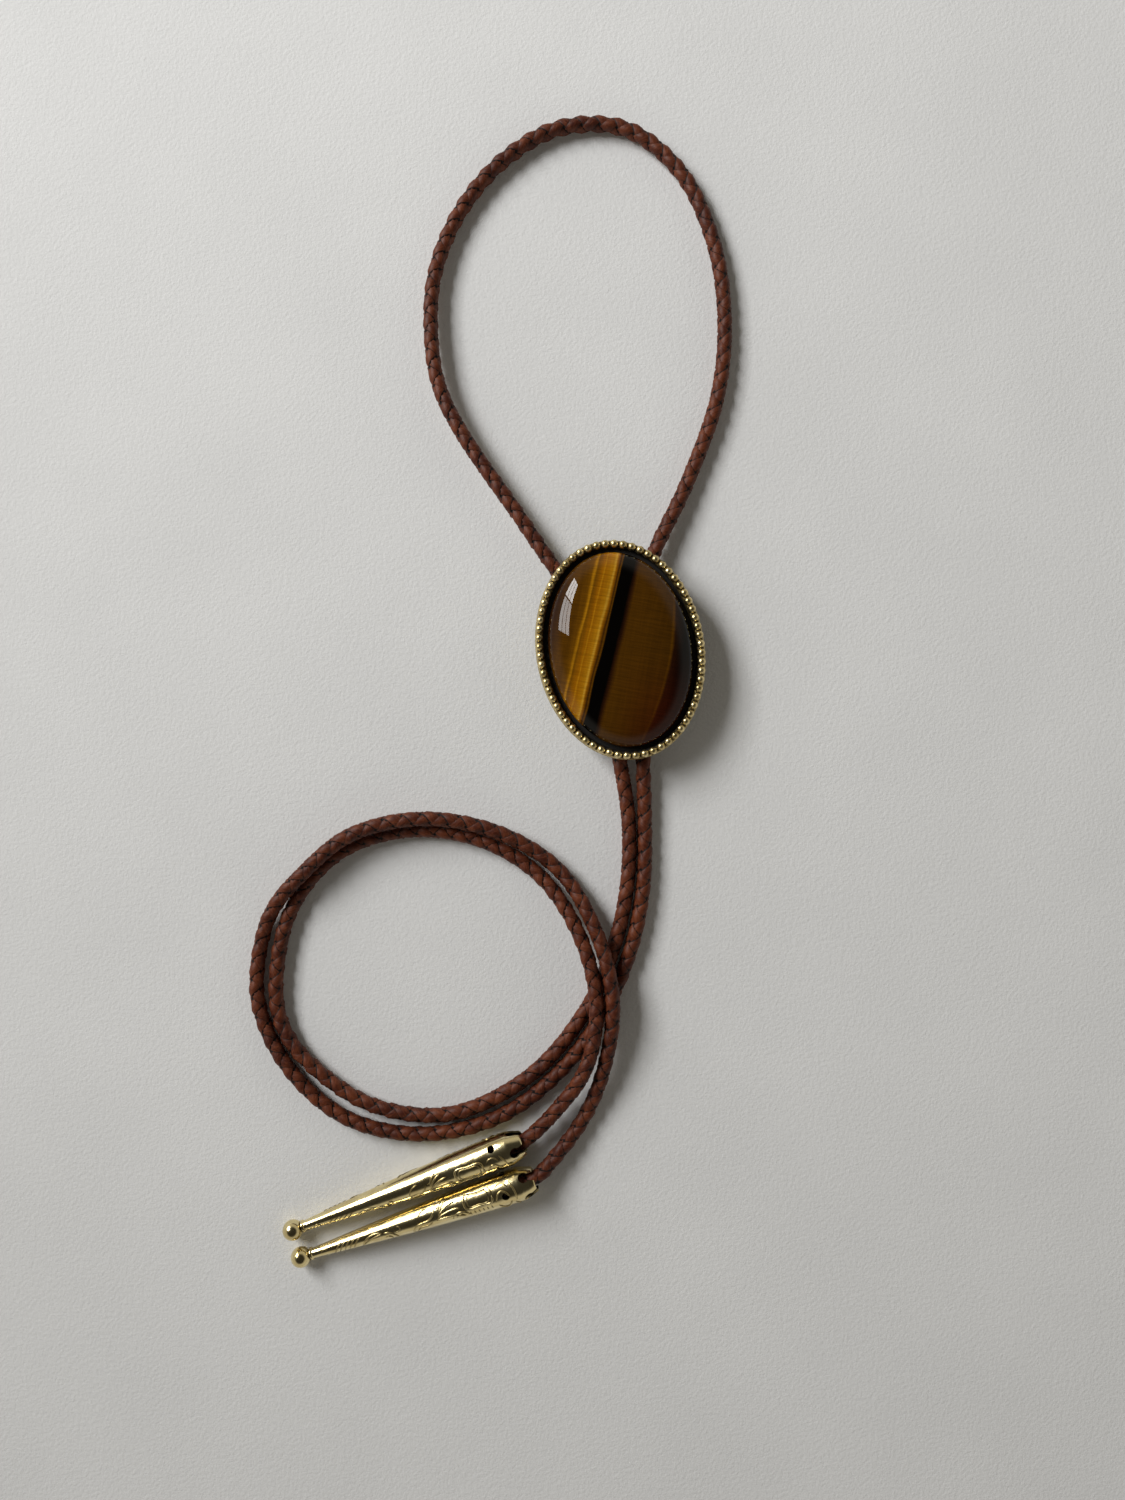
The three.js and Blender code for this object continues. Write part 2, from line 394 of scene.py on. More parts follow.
@dataclass(frozen=True)
class PolishedGold(Finish):
    """Pale, highly polished gold plate on a stamped shell, for the cord tips, with painted shade on its
    inner side and beside its raised lines.
    """

    name: str = "polished_gold"
    bright: Colour = (0.90, 0.78, 0.45, 1.0)
    deep: Colour = (0.56, 0.41, 0.14, 1.0)
    # painted shade: the near-black of the tip's inner side
    inside: Colour = (0.02, 0.013, 0.005, 1.0)
    wave_scale: float = 260.0
    fine_scale: float = 2600.0
    groove_shade: float = 0.85  # how much darker a groove is than the deep gold
    wave_depth: float = 0.14 * MM

    def shade(self, shader: Shader) -> None:
        """Adds the finish's nodes. The mesh keeps its inner side and its grooves: inner, groove. The inner
        side takes near-black painted shade, and the grooves a darker painted shade.

        Args:
            shader: the material's tree.
        """
        place = shader.place()
        wave = shader.noise(place, self.wave_scale, 2.0)
        fine = shader.noise(place, self.fine_scale, 3.0)
        inner = shader.kept("inner")
        groove = shader.kept("groove")
        gold = shader.mix(wave.between(0.3, 0.75) * 0.5, self.bright, self.deep)
        # painted shade at the foot of the raised lines and in the collar's groove; the crests stay bright
        grooved = shader.shaded(self.deep, 1.0 - groove * self.groove_shade)
        gold = shader.mix(groove, gold, grooved)
        # painted shade: the inner side goes near-black
        shader.surface(
            Base_Color=shader.mix(inner, gold, self.inside),
            Metallic=1.0,
            Roughness=0.14 + fine * 0.08 + groove * 0.2 + inner * 0.4,
            Normal=shader.bump(wave * 0.75 + fine * 0.05, self.wave_depth),
        )


@dataclass(frozen=True)
class BrushedBrass(Finish):
    """Plain gold-coloured metal with fine lines along it, for the clasp."""

    name: str = "brushed_brass"
    bright: Colour = (0.70, 0.54, 0.25, 1.0)
    dull: Colour = (0.45, 0.34, 0.15, 1.0)
    line_scale: float = 5200.0
    line_stretch: Point = (1.0, 0.03, 1.0)
    line_depth: float = 0.012 * MM
    cloud_scale: float = 300.0

    def shade(self, shader: Shader) -> None:
        """Adds the finish's nodes.

        Args:
            shader: the material's tree.
        """
        place = shader.place()
        lines = shader.noise(shader.scaled(place, self.line_stretch), self.line_scale, 2.0)
        cloud = shader.noise(place, self.cloud_scale, 3.0)
        shader.surface(
            Base_Color=shader.mix(cloud.between(0.3, 0.7) * 0.7 + lines * 0.2, self.bright, self.dull),
            Metallic=1.0,
            Roughness=0.24 + lines * 0.14 + cloud * 0.08,
            Normal=shader.bump(lines, self.line_depth),
        )


@dataclass(frozen=True)
class TigerEye(Finish):
    """Polished tiger's eye: silky golden bands, one black band and fibres across them."""

    name: str = "tiger_eye"
    turn: float = math.radians(-10.0)  # of the axis across the bands, from +X
    lean: float = 0.062  # sideways run of the left bands for each step along them
    bow: float = 0.0088  # how much the right bands are bowed, for each millimetre
    half_span: float = 16.0  # how far the bands reach on each side of the middle, in millimetres
    straw: Colour = (0.62, 0.33, 0.030, 1.0)
    honey: Colour = (0.46, 0.20, 0.006, 1.0)
    amber: Colour = (0.34, 0.122, 0.002, 1.0)
    bronze: Colour = (0.16, 0.062, 0.002, 1.0)
    tobacco: Colour = (0.094, 0.036, 0.002, 1.0)
    umber: Colour = (0.030, 0.009, 0.002, 1.0)
    black: Colour = (0.0012, 0.0008, 0.0006, 1.0)
    rust: Colour = (0.085, 0.012, 0.002, 1.0)
    redness: float = 0.65  # how much rust there is at the lower right
    waver: float = 0.9  # how far the bands waver, in millimetres
    fibre_depth: float = 0.02 * MM

    def bands(self) -> tuple[tuple[float, Colour], ...]:
        """The bands, from left to right.

        Returns:
            The place of each across the stone, in millimetres from its middle, and its tone.
        """
        return (
            (-14.5, self.umber),
            (-12.0, self.tobacco),
            (-10.6, self.tobacco),
            (-9.2, self.bronze),
            (-8.7, self.honey),
            (-8.4, self.bronze),
            (-7.2, self.amber),
            (-7.0, self.honey),
            (-6.8, self.amber),
            (-5.5, self.honey),
            (-5.1, self.straw),
            (-4.8, self.amber),
            (-4.2, self.umber),
            (-3.9, self.bronze),
            (-3.7, self.black),
            (-1.3, self.black),
            (-0.7, self.umber),
            (0.1, self.tobacco),
            (9.5, self.tobacco),
            (9.9, self.bronze),
            (10.4, self.umber),
            (12.5, self.black),
        )

    def shade(self, shader: Shader) -> None:
        """Adds the finish's nodes. Lengths in the pattern are in millimetres.

        Args:
            shader: the material's tree.
        """
        spot = shader.turned_place(self.turn, (1 / MM, 1 / MM, 1 / MM))
        across, along, _ = shader.parts(spot)
        right = across.between(-1.0, 10.0)
        drift = shader.noise(shader.scaled(spot, (0.35, 0.09, 0.2)), 1.0, 3.0) - 0.5
        band = across - along * self.lean * (1.0 - right) + along * along * self.bow * right
        share = (band + drift * self.waver) / (2 * self.half_span) + 0.5
        stops = [(place / (2 * self.half_span) + 0.5, colour) for place, colour in self.bands()]
        fibres = shader.noise(shader.scaled(spot, (0.13, 3.6, 0.5)), 1.0, 4.0, 0.66)
        threads = shader.noise(shader.scaled(spot, (0.4, 11.0, 1.0)), 1.0, 2.0)
        streaks = shader.noise(shader.scaled(spot, (1.5, 0.06, 0.3)), 1.0, 4.0, 0.6)
        light = fibres.between(0.1, 0.9) * 0.55 + threads * 0.15 + streaks * 0.5 + 0.18
        red = along.between(3.0, -16.0) * right
        colour = shader.mix(red * self.redness, shader.ramp(share, stops), self.rust)
        shader.surface(
            Base_Color=shader.shaded(colour, light),
            Roughness=0.38 + fibres * 0.12,
            Specular_IOR_Level=0.0,
            Coat_Weight=0.85,
            Coat_Roughness=0.02,
            Coat_IOR=1.36,
            Normal=shader.bump(fibres * 0.7 + threads * 0.3, self.fibre_depth),
        )


@dataclass(frozen=True)
class BraidedLeather(Finish):
    """Red-brown leather laces, with painted shade along their edges and in the grooves between them."""

    name: str = "laced_leather"
    light: Colour = (0.195, 0.052, 0.019, 1.0)
    middle: Colour = (0.113, 0.024, 0.007, 1.0)
    dark: Colour = (0.056, 0.009, 0.003, 1.0)
    # painted shade: the near-black of the grooves, the lace edges and the core
    groove: Colour = (0.005, 0.0012, 0.0008, 1.0)
    patch_scale: float = 70.0
    blotch_scale: float = 520.0
    grain_scale: Point = (1.6, 5.0, 1.0)  # along the lace, across it, and unused
    pore_scale: float = 5200.0
    grain_depth: float = 0.06 * MM

    def shade(self, shader: Shader) -> None:
        """Adds the finish's nodes. The mesh keeps edge and proud, and a UV map in millimetres.

        Args:
            shader: the material's tree.
        """
        place = shader.place()
        lace = shader.out("UVMap", {"uv_map": "lace"})
        edge = shader.kept("edge")
        proud = shader.kept("proud")
        patch = shader.noise(place, self.patch_scale, 3.0)
        blotch = shader.noise(place, self.blotch_scale, 3.0)
        grain = shader.noise(shader.scaled(lace, self.grain_scale), 1.0, 4.0, 0.6)
        cells = {"Vector": place, "Scale": self.pore_scale}
        pores = shader.out("TexVoronoi", {"feature": "F1"}, cells, "Distance")
        body = shader.mix((patch * 0.6 + blotch * 0.4).between(0.36, 0.66), self.dark, self.middle)
        body = shader.mix((grain * 0.65 + blotch * 0.35).between(0.42, 0.72), body, self.light)
        # painted shade: low places between the laces and the laces' edges go to the groove colour
        sunk_and_edge_shade = (1.0 - proud.between(0.75, 0.87)) + edge.between(0.57, 0.75)
        painted_shade = sunk_and_edge_shade.between(0.0, 1.0)
        lift = grain * 0.5 + pores * 0.3 + blotch * 0.2
        shader.surface(
            Base_Color=shader.mix(painted_shade, body, self.groove),
            Roughness=0.42 + grain * 0.2 + painted_shade * 0.2,
            Specular_IOR_Level=0.3,
            Normal=shader.bump(lift, self.grain_depth),
        )


@dataclass(frozen=True)
class PaperSurface(Finish):
    """Plain pale paper with a fine tooth, for the floor."""

    name: str = "pale_paper"
    light: Colour = (0.865, 0.875, 0.885, 1.0)
    dark: Colour = (0.82, 0.83, 0.84, 1.0)
    tooth_scale: float = 1500.0
    tooth_depth: float = 0.12 * MM
    sheet_scale: float = 30.0

    def shade(self, shader: Shader) -> None:
        """Adds the finish's nodes.

        Args:
            shader: the material's tree.
        """
        place = shader.place()
        tooth = shader.noise(place, self.tooth_scale, 4.0, 0.6)
        sheet = shader.noise(place, self.sheet_scale, 3.0)
        shader.surface(
            Base_Color=shader.mix((sheet * 0.6 + tooth * 0.4).between(0.3, 0.7), self.dark, self.light),
            Roughness=0.85 + tooth * 0.1,
            Specular_IOR_Level=0.2,
            Normal=shader.bump(tooth, self.tooth_depth),
        )


# --- Modelling helpers -------------------------------------------------------------------------------


class Part(Enum):
    """What is picked in edit mode."""

    POINTS = "VERT"
    EDGES = "EDGE"
    FACES = "FACE"


class End(Enum):
    """How the end of a turned body is closed."""

    FLAT = "flat"
    POLE = "pole"


@dataclass(frozen=True)
class Ring:
    """One ring of a turned body: its height and its half widths along x and y, in metres."""

    height: float
    half_x: float
    half_y: float


def activate(piece: bpy.types.Object) -> None:
    """Makes a piece the only selected one, and the active one."""
    bpy.ops.object.select_all(action="DESELECT")
    piece.select_set(True)
    bpy.context.view_layer.objects.active = piece


@contextmanager
def editing(piece: bpy.types.Object, part: Part = Part.FACES) -> Iterator[None]:
    """Works on a piece in edit mode.

    Args:
        piece: the piece.
        part: what is picked.

    Returns:
        Nothing; the mode ends with the block.
    """
    activate(piece)
    bpy.ops.object.mode_set(mode="EDIT")
    bpy.ops.mesh.select_mode(type=part.value)
    yield
    bpy.ops.object.mode_set(mode="OBJECT")


def pick(piece: bpy.types.Object, part: Part, wanted: Callable[[Vector, Vector], bool]) -> int:
    """Selects parts of a piece in edit mode, and nothing else.

    Args:
        piece: the piece.
        part: whether points, edges or faces are picked.
        wanted: says of a part's middle and its normal whether it is picked.

    Returns:
        How many were picked.
    """
    mesh = bmesh.from_edit_mesh(piece.data)
    bpy.ops.mesh.select_all(action="DESELECT")
    if part is Part.FACES:
        found = [face for face in mesh.faces if wanted(face.calc_center_median(), face.normal)]
    elif part is Part.EDGES:
        found = [
            edge
            for edge in mesh.edges
            if wanted((edge.verts[0].co + edge.verts[1].co) / 2, edge.verts[0].normal)
        ]
    else:
        found = [point for point in mesh.verts if wanted(point.co, point.normal)]
    for item in found:
        item.select_set(True)
    mesh.select_flush_mode()
    bmesh.update_edit_mesh(piece.data)
    return len(found)


def named(name: str) -> bpy.types.Object:
    """Names the active object and its mesh.

    Args:
        name: the name.

    Returns:
        The object.
    """
    piece = bpy.context.view_layer.objects.active
    piece.name = name
    piece.data.name = name
    return piece


def settle(piece: bpy.types.Object) -> None:
    """Puts a piece's place, turn and size into its mesh."""
    activate(piece)
    bpy.ops.object.transform_apply(location=True, rotation=True, scale=True)


def face_outwards(piece: bpy.types.Object) -> None:
    """Welds a piece's double points and turns its faces outwards.

    Args:
        piece: the piece.
    """
    with editing(piece, Part.POINTS):
        bpy.ops.mesh.select_all(action="SELECT")
        bpy.ops.mesh.remove_doubles(threshold=WELD)
        bpy.ops.mesh.normals_make_consistent(inside=False)


def smooth(piece: bpy.types.Object, angle: float) -> None:
    """Shades a piece smooth, except across edges sharper than an angle in degrees."""
    activate(piece)
    bpy.ops.object.shade_smooth_by_angle(angle=math.radians(angle))


def apply_modifier(piece: bpy.types.Object, kind: str, **settings: object) -> None:
    """Adds one modifier and applies it.

    Args:
        piece: the piece.
        kind: the modifier's type.
        settings: what is set on it.
    """
    activate(piece)
    modifier = piece.modifiers.new(kind.lower(), kind)
    for name, value in settings.items():
        setattr(modifier, name, value)
    bpy.ops.object.modifier_apply(modifier=modifier.name)


def soften(piece: bpy.types.Object, width: float, angle: float, segments: int) -> None:
    """Rounds a piece's sharp edges.

    Args:
        piece: the piece.
        width: of the rounding, in metres.
        angle: the least angle of an edge that is rounded, in degrees.
        segments: how many strips the rounding has.
    """
    apply_modifier(
        piece,
        "BEVEL",
        width=width,
        segments=segments,
        limit_method="ANGLE",
        angle_limit=math.radians(angle),
        use_clamp_overlap=True,
    )


def cut_away(piece: bpy.types.Object, cutter: bpy.types.Object) -> None:
    """Cuts a solid out of a piece, and removes the solid."""
    apply_modifier(piece, "BOOLEAN", operation="DIFFERENCE", solver="EXACT", object=cutter)
    bpy.data.objects.remove(cutter, do_unlink=True)


def join(pieces: Sequence[bpy.types.Object], name: str) -> bpy.types.Object:
    """Joins pieces into the first one.

    Args:
        pieces: the pieces.
        name: the name of the whole.

    Returns:
        The whole.
    """
    activate(pieces[0])
    for piece in pieces[1:]:
        piece.select_set(True)
    bpy.ops.object.join()
    return named(name)


def twin(piece: bpy.types.Object, name: str) -> bpy.types.Object:
    """Copies a piece, with its own mesh.

    Args:
        piece: the piece.
        name: the copy's name.

    Returns:
        The copy.
    """
    copied = piece.copy()
    copied.data = piece.data.copy()
    copied.name = copied.data.name = name
    bpy.context.scene.collection.objects.link(copied)
    return copied


def turned_body(
    name: str, rings: Sequence[Ring], sides: int, first: End = End.FLAT, last: End = End.FLAT
) -> bpy.types.Object:
    """Raises a closed body from a circle, one ring at a time, as on a lathe.

    Args:
        name: the body's name.
        rings: its rings, from the first to the last.
        sides: how many sides each ring has.
        first: how the first ring is closed.
        last: how the last ring is closed.

    Returns:
        The body, with its faces outwards.
    """
    bpy.ops.object.select_all(action="DESELECT")
    start = rings[0]
    bpy.ops.mesh.primitive_circle_add(
        vertices=sides, radius=start.half_x, fill_type="NOTHING", location=(0, 0, start.height)
    )
    body = named(name)
    settle(body)
    with editing(body, Part.EDGES):
        bpy.ops.mesh.select_all(action="SELECT")
        bpy.ops.transform.resize(
            value=(1, start.half_y / start.half_x, 1), center_override=(0, 0, start.height)
        )
        _raise_rings(rings)
        for ring, end in ((rings[0], first), (rings[-1], last)):
            _pick_rim(body, ring)
            _close(end)
    face_outwards(body)
    return body


def _raise_rings(rings: Sequence[Ring]) -> None:
    """Extrudes the selected first ring from ring to ring.

    Args:
        rings: the body's rings.
    """
    for below, above in zip(rings, rings[1:]):
        bpy.ops.mesh.extrude_region_move(
            TRANSFORM_OT_translate={"value": (0, 0, above.height - below.height)}
        )
        bpy.ops.transform.resize(
            value=(above.half_x / below.half_x, above.half_y / below.half_y, 1),
            center_override=(0, 0, above.height),
        )


def _pick_rim(body: bpy.types.Object, ring: Ring) -> None:
    """Selects the edges of one ring.

    Args:
        body: the body, in edit mode.
        ring: the ring.
    """

    def on_ring(middle: Vector, _normal: Vector) -> bool:
        """Whether an edge's middle lies on the ring."""
        size = math.hypot(middle.x / ring.half_x, middle.y / ring.half_y)
        return abs(middle.z - ring.height) < SAME_HEIGHT and abs(size - 1) < SAME_SIZE

    if pick(body, Part.EDGES, on_ring) == 0:
        raise ValueError(f"{body.name} has no ring at {ring.height:.5f}")


def _close(end: End) -> None:
    """Closes the selected open ring.

    Args:
        end: how it is closed.
    """
    if end is End.POLE:
        bpy.ops.mesh.extrude_region_move()
        bpy.ops.mesh.merge(type="CENTER")
    else:
        bpy.ops.mesh.edge_face_add()


def keep_number(piece: bpy.types.Object, name: str, number: Callable[[Vector], float]) -> None:
    """Keeps a number at each of a mesh's points, for its finish to read.

    Args:
        piece: the piece.
        name: the number's name.
        number: gives it from a point's place.
    """
    kept = piece.data.attributes.new(name, "FLOAT", "POINT")
    values = [number(point.co) for point in piece.data.vertices]
    kept.data.foreach_set("value", values)


def ramp_up(value: float, low: float, high: float) -> float:
    """Goes from 0 at low to 1 at high."""
    return min(1.0, max(0.0, (value - low) / (high - low)))


def squared_off(wave: np.ndarray | float, power: float) -> np.ndarray | float:
    """Flattens a wave's crests and troughs, with a power below 1."""
    return np.sign(wave) * np.abs(wave) ** power


def smooth_line(points: np.ndarray, pieces: int) -> np.ndarray:
    """Draws a smooth line through points: a centripetal Catmull-Rom curve, as in the CAD.

    Args:
        points: the points, one a row.
        pieces: how many straight pieces run between two of them.

    Returns:
        The line's points, one a row.
    """
    ends = [2 * points[0] - points[1], *points, 2 * points[-1] - points[-2]]
    drawn = []
    share = np.linspace(0, 1, pieces, endpoint=False)[:, None]
    for before, start, finish, after in zip(ends, ends[1:], ends[2:], ends[3:]):
        gaps = [
            max(np.linalg.norm(b - a) ** 0.5, 1e-9)
            for a, b in ((before, start), (start, finish), (finish, after))
        ]
        leave = (start - before) / gaps[0] - (finish - before) / (gaps[0] + gaps[1])
        leave = (leave + (finish - start) / gaps[1]) * gaps[1]
        arrive = (finish - start) / gaps[1] - (after - start) / (gaps[1] + gaps[2])
        arrive = (arrive + (after - finish) / gaps[2]) * gaps[1]
        cubic = 2 * start - 2 * finish + leave + arrive
        square = -3 * start + 3 * finish - 2 * leave - arrive
        drawn.append(start + leave * share + square * share**2 + cubic * share**3)
    drawn.append(points[-1:])
    return np.vstack(drawn)


def evenly(line: np.ndarray, count: int) -> tuple[np.ndarray, float]:
    """Spaces points evenly along a line.

    Args:
        line: the line's points, one a row.
        count: how many points are wanted.

    Returns:
        The points, and the line's length.
    """
    reached = np.concatenate([[0], np.cumsum(np.linalg.norm(np.diff(line, axis=0), axis=1))])
    wanted = np.linspace(0, reached[-1], count)
    columns = [np.interp(wanted, reached, line[:, axis]) for axis in range(line.shape[1])]
    return np.stack(columns, axis=1), float(reached[-1])


# --- The cord ----------------------------------------------------------------------------------------

LAID = 1.55  # height of the middle of a cord that lies on the surface, in millimetres

LEFT_TAIL_ROUTE = (
    (-30.5, -105.6, 3.0), (-24.5, -103.2, 3.1), (-19.9, -101.3, 3.2), (-12.6, -94.2, 3.6),
    (-6.9, -85.6, 4.6), (-4.9, -72.1, 5.0), (-8.4, -58.3, 4.0), (-16.6, -46.5, 1.8),
    (-29.2, -39.1, LAID), (-44.1, -37.2, LAID), (-58.3, -41.8, LAID), (-68.1, -53.3, LAID),
    (-71.4, -68.5, LAID), (-70.4, -76.9, LAID), (-65.9, -84.2, LAID), (-52.1, -94.0, LAID),
    (-35.3, -96.1, LAID), (-18.9, -88.4, LAID), (-7.3, -75.0, LAID), (-1.1, -61.3, LAID),
    (1.7, -48.0, LAID), (1.9, -35.0, 1.6), (0.0, -22.3, 2.4), (-3.0, -6.7, 3.0), (-4.1, -0.8, 3.0),
    (-5.2, 4.6, 3.0),
)
NECK_LOOP_ROUTE = (
    (-9.1, 11.4, 3.1), (-14.8, 19.1, 3.3), (-20.5, 27.5, 3.5), (-32.9, 45.6, 3.5), (-37.0, 53.9, 3.2),
    (-38.8, 62.3, 2.8), (-38.5, 77.6, 2.0), (-33.2, 91.5, LAID), (-24.0, 102.5, LAID),
    (-12.3, 109.1, LAID), (1.2, 108.9, LAID), (12.6, 100.1, LAID), (19.6, 85.4, LAID),
    (21.9, 69.6, LAID), (20.5, 53.4, LAID), (14.3, 35.6, 1.7), (7.2, 20.6, 2.7), (4.7, 13.1, 3.0),
)
RIGHT_TAIL_ROUTE = (
    (3.1, 6.1, 3.0), (4.2, 0.7, 3.0), (5.2, -5.1, 3.0), (4.9, -22.3, 2.4), (5.3, -35.5, 1.6),
    (5.0, -49.0, LAID), (2.5, -61.6, LAID), (-2.8, -74.0, LAID), (-11.7, -86.6, LAID),
    (-24.7, -96.6, LAID), (-41.0, -100.3, LAID), (-56.9, -96.9, LAID), (-69.1, -86.2, LAID),
    (-75.2, -72.3, LAID), (-73.9, -58.3, 1.8), (-71.0, -52.2, 2.9), (-66.4, -46.9, 4.1),
    (-55.9, -38.1, 4.4), (-41.0, -34.6, 4.2), (-25.0, -37.5, 3.0), (-12.4, -45.5, 2.0),
    (-4.7, -58.4, 4.3), (-1.5, -72.0, 5.0), (-3.1, -85.8, 3.2), (-7.2, -96.6, LAID),
    (-13.5, -105.0, 2.4), (-17.3, -108.7, 3.0), (-22.0, -110.4, 3.1), (-28.3, -112.6, 3.0),
)


@dataclass
class Tube:
    """Points and faces of a closed tube, with what the mesh keeps at each point."""

    points: np.ndarray
    faces: list[tuple[int, ...]]
    edge: np.ndarray
    proud: np.ndarray
    along: np.ndarray
    across: np.ndarray


@dataclass
class BraidedCord:
    """The one cord: four flat leather laces braided round a thin core. Sizes are in metres."""

    finish: Finish
    exit: Point
    diameter: float = 3.0 * MM
    lead: float = 7.6 * MM  # length of one turn of a lace
    outside: float = 1.71 * MM  # radius that the crowns of the laces reach
    lace_width: float = 2.7 * MM
    lace_thickness: float = 0.9 * MM
    weave: float = 0.22 * MM  # how far a lace rises and sinks
    weave_square: float = 0.75  # 1 is an even wave; less stays longer at its crests
    lace_bend: float = 1.3 * MM  # radius to which a lace is bent across its width
    lace_sides_square: float = 0.85  # 1 is an oval section; less is squarer
    lace_top_square: float = 0.75
    uneven: float = 0.03 * MM  # how far a lace strays in and out
    uneven_pace: float = 700.0  # how fast it does, in radians for each metre
    swell: float = 0.04  # how much wider and narrower a lace gets
    swell_pace: float = 263.0
    core_radius: float = 1.05 * MM
    steps: int = 1800
    lace_sides: int = 12
    core_sides: int = 6
    facing: float = math.radians(45.0)  # turn of the braid's columns, so that its V's look up
    wander: float = math.radians(14.0)  # how far that turn drifts along the cord
    wander_waves: tuple[Point, ...] = ((0.6, 31.0, 0.8), (0.4, 83.0, 2.1))  # share, pace, start
    grain_shift: Pair = (40.0, 17.0)  # sets each lace's grain apart, in millimetres
    line: np.ndarray = field(init=False)
    length: float = field(init=False)

    def __post_init__(self) -> None:
        """Works out the cord's middle line."""
        route = np.array(LEFT_TAIL_ROUTE + NECK_LOOP_ROUTE + RIGHT_TAIL_ROUTE) * MM
        self.line, self.length = evenly(smooth_line(route, 40), self.steps)

    def build(self) -> bpy.types.Object:
        """Returns:
            The cord.
        """
        laces = [self._lace(hand, start) for hand in (1, -1) for start in (0.0, math.pi)]
        cord = self._mesh("braided_cord", [*laces, self._core()])
        self.finish.dress(cord)
        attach(cord, ROOT)
        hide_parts("cord_left_tail", "cord_neck_loop", "cord_right_tail")
        return cord

    def _frame(self) -> tuple[np.ndarray, np.ndarray]:
        """Works out the cord's directions along its line.

        Returns:
            The sideways and the upward direction at each point.
        """
        ahead = np.gradient(self.line, axis=0)
        ahead /= np.linalg.norm(ahead, axis=1)[:, None]
        side = np.cross(ahead, (0.0, 0.0, 1.0))
        side /= np.linalg.norm(side, axis=1)[:, None]
        return side, np.cross(side, ahead)

    def _drift(self, reached: np.ndarray) -> np.ndarray:
        """The turn of the braid's columns at each length along the cord."""
        slow = sum(share * np.sin(reached * pace + start) for share, pace, start in self.wander_waves)
        return self.facing + self.wander * slow

    def _lace(self, hand: int, start: float) -> Tube:
        """Makes one lace.

        Args:
            hand: 1 for a lace that winds to the left, -1 for one that winds to the right.
            start: its angle at the cord's start.

        Returns:
            The lace as a closed tube.
        """
        side, up = self._frame()
        reached = np.linspace(0, self.length, self.steps)
        drift = self._drift(reached)
        turn = hand * 2 * math.pi * reached / self.lead + start
        swing = np.cos(2 * turn)
        rise = hand * self.weave * squared_off(swing, self.weave_square)
        rest = self.outside - self.lace_thickness / 2 - self.weave
        angle = (turn + drift)[:, None]
        outward = np.cos(angle) * side + np.sin(angle) * up
        stray = self.uneven * np.sin(reached * self.uneven_pace + 3.0 * start + hand)
        middle = self.line + outward * (rest + rise + stray)[:, None]
        ahead = np.gradient(middle, axis=0)
        ahead /= np.linalg.norm(ahead, axis=1)[:, None]
        across = np.cross(ahead, outward)
        across /= np.linalg.norm(across, axis=1)[:, None]
        outward = np.cross(across, ahead)

        corners = np.linspace(0, 2 * math.pi, self.lace_sides, endpoint=False)
        wide = squared_off(np.cos(corners), self.lace_sides_square) * self.lace_width / 2
        high = squared_off(np.sin(corners), self.lace_top_square) * self.lace_thickness / 2
        swell = 1.0 + self.swell * np.sin(reached * self.swell_pace + 5.0 * start + 2.0 * hand)
        bent = wide[None, :] * swell[:, None] / self.lace_bend
        out = (self.lace_bend + high) * np.cos(bent) - self.lace_bend
        over = (self.lace_bend + high) * np.sin(bent)
        aside = across[:, None, :] * over[..., None]
        points = middle[:, None, :] + aside + outward[:, None, :] * out[..., None]
        from_line = np.linalg.norm(points - self.line[:, None, :], axis=2)
        edge = np.broadcast_to(np.abs(wide) / (self.lace_width / 2), from_line.shape)
        by_start, by_hand = self.grain_shift
        return Tube(
            points=points.reshape(-1, 3),
            faces=self._tube_faces(self.lace_sides),
            edge=edge.ravel(),
            proud=(from_line / self.outside).ravel(),
            along=np.repeat(reached / MM, self.lace_sides) + by_start * start + by_hand * hand,
            across=np.tile(wide / MM, self.steps),
        )

    def _core(self) -> Tube:
        """Makes the core, which closes what shows between the laces. It counts as fully sunk, so its
        finish paints it all in shade.

        Returns:
            The core as a closed tube.
        """
        side, up = self._frame()
        corners = np.linspace(0, 2 * math.pi, self.core_sides, endpoint=False)
        ring = np.cos(corners)[:, None] * side[:, None, :] + np.sin(corners)[:, None] * up[:, None, :]
        points = self.line[:, None, :] + ring * self.core_radius
        count = self.steps * self.core_sides
        return Tube(
            points=points.reshape(-1, 3),
            faces=self._tube_faces(self.core_sides),
            # all edge and no height: painted shade over the whole core
            edge=np.ones(count),
            proud=np.zeros(count),
            along=np.zeros(count),
            across=np.zeros(count),
        )

    def _tube_faces(self, sides: int) -> list[tuple[int, ...]]:
        """The faces of a closed tube whose rings follow each other.

        Args:
            sides: how many points each ring has.

        Returns:
            Four-sided faces round the tube and one face over each end.
        """
        faces: list[tuple[int, ...]] = []
        for step in range(self.steps - 1):
            low, high = step * sides, (step + 1) * sides
            for corner in range(sides):
                after = (corner + 1) % sides
                faces.append((low + corner, low + after, high + after, high + corner))
        last = (self.steps - 1) * sides
        faces.append(tuple(range(sides - 1, -1, -1)))
        faces.append(tuple(range(last, last + sides)))
        return faces

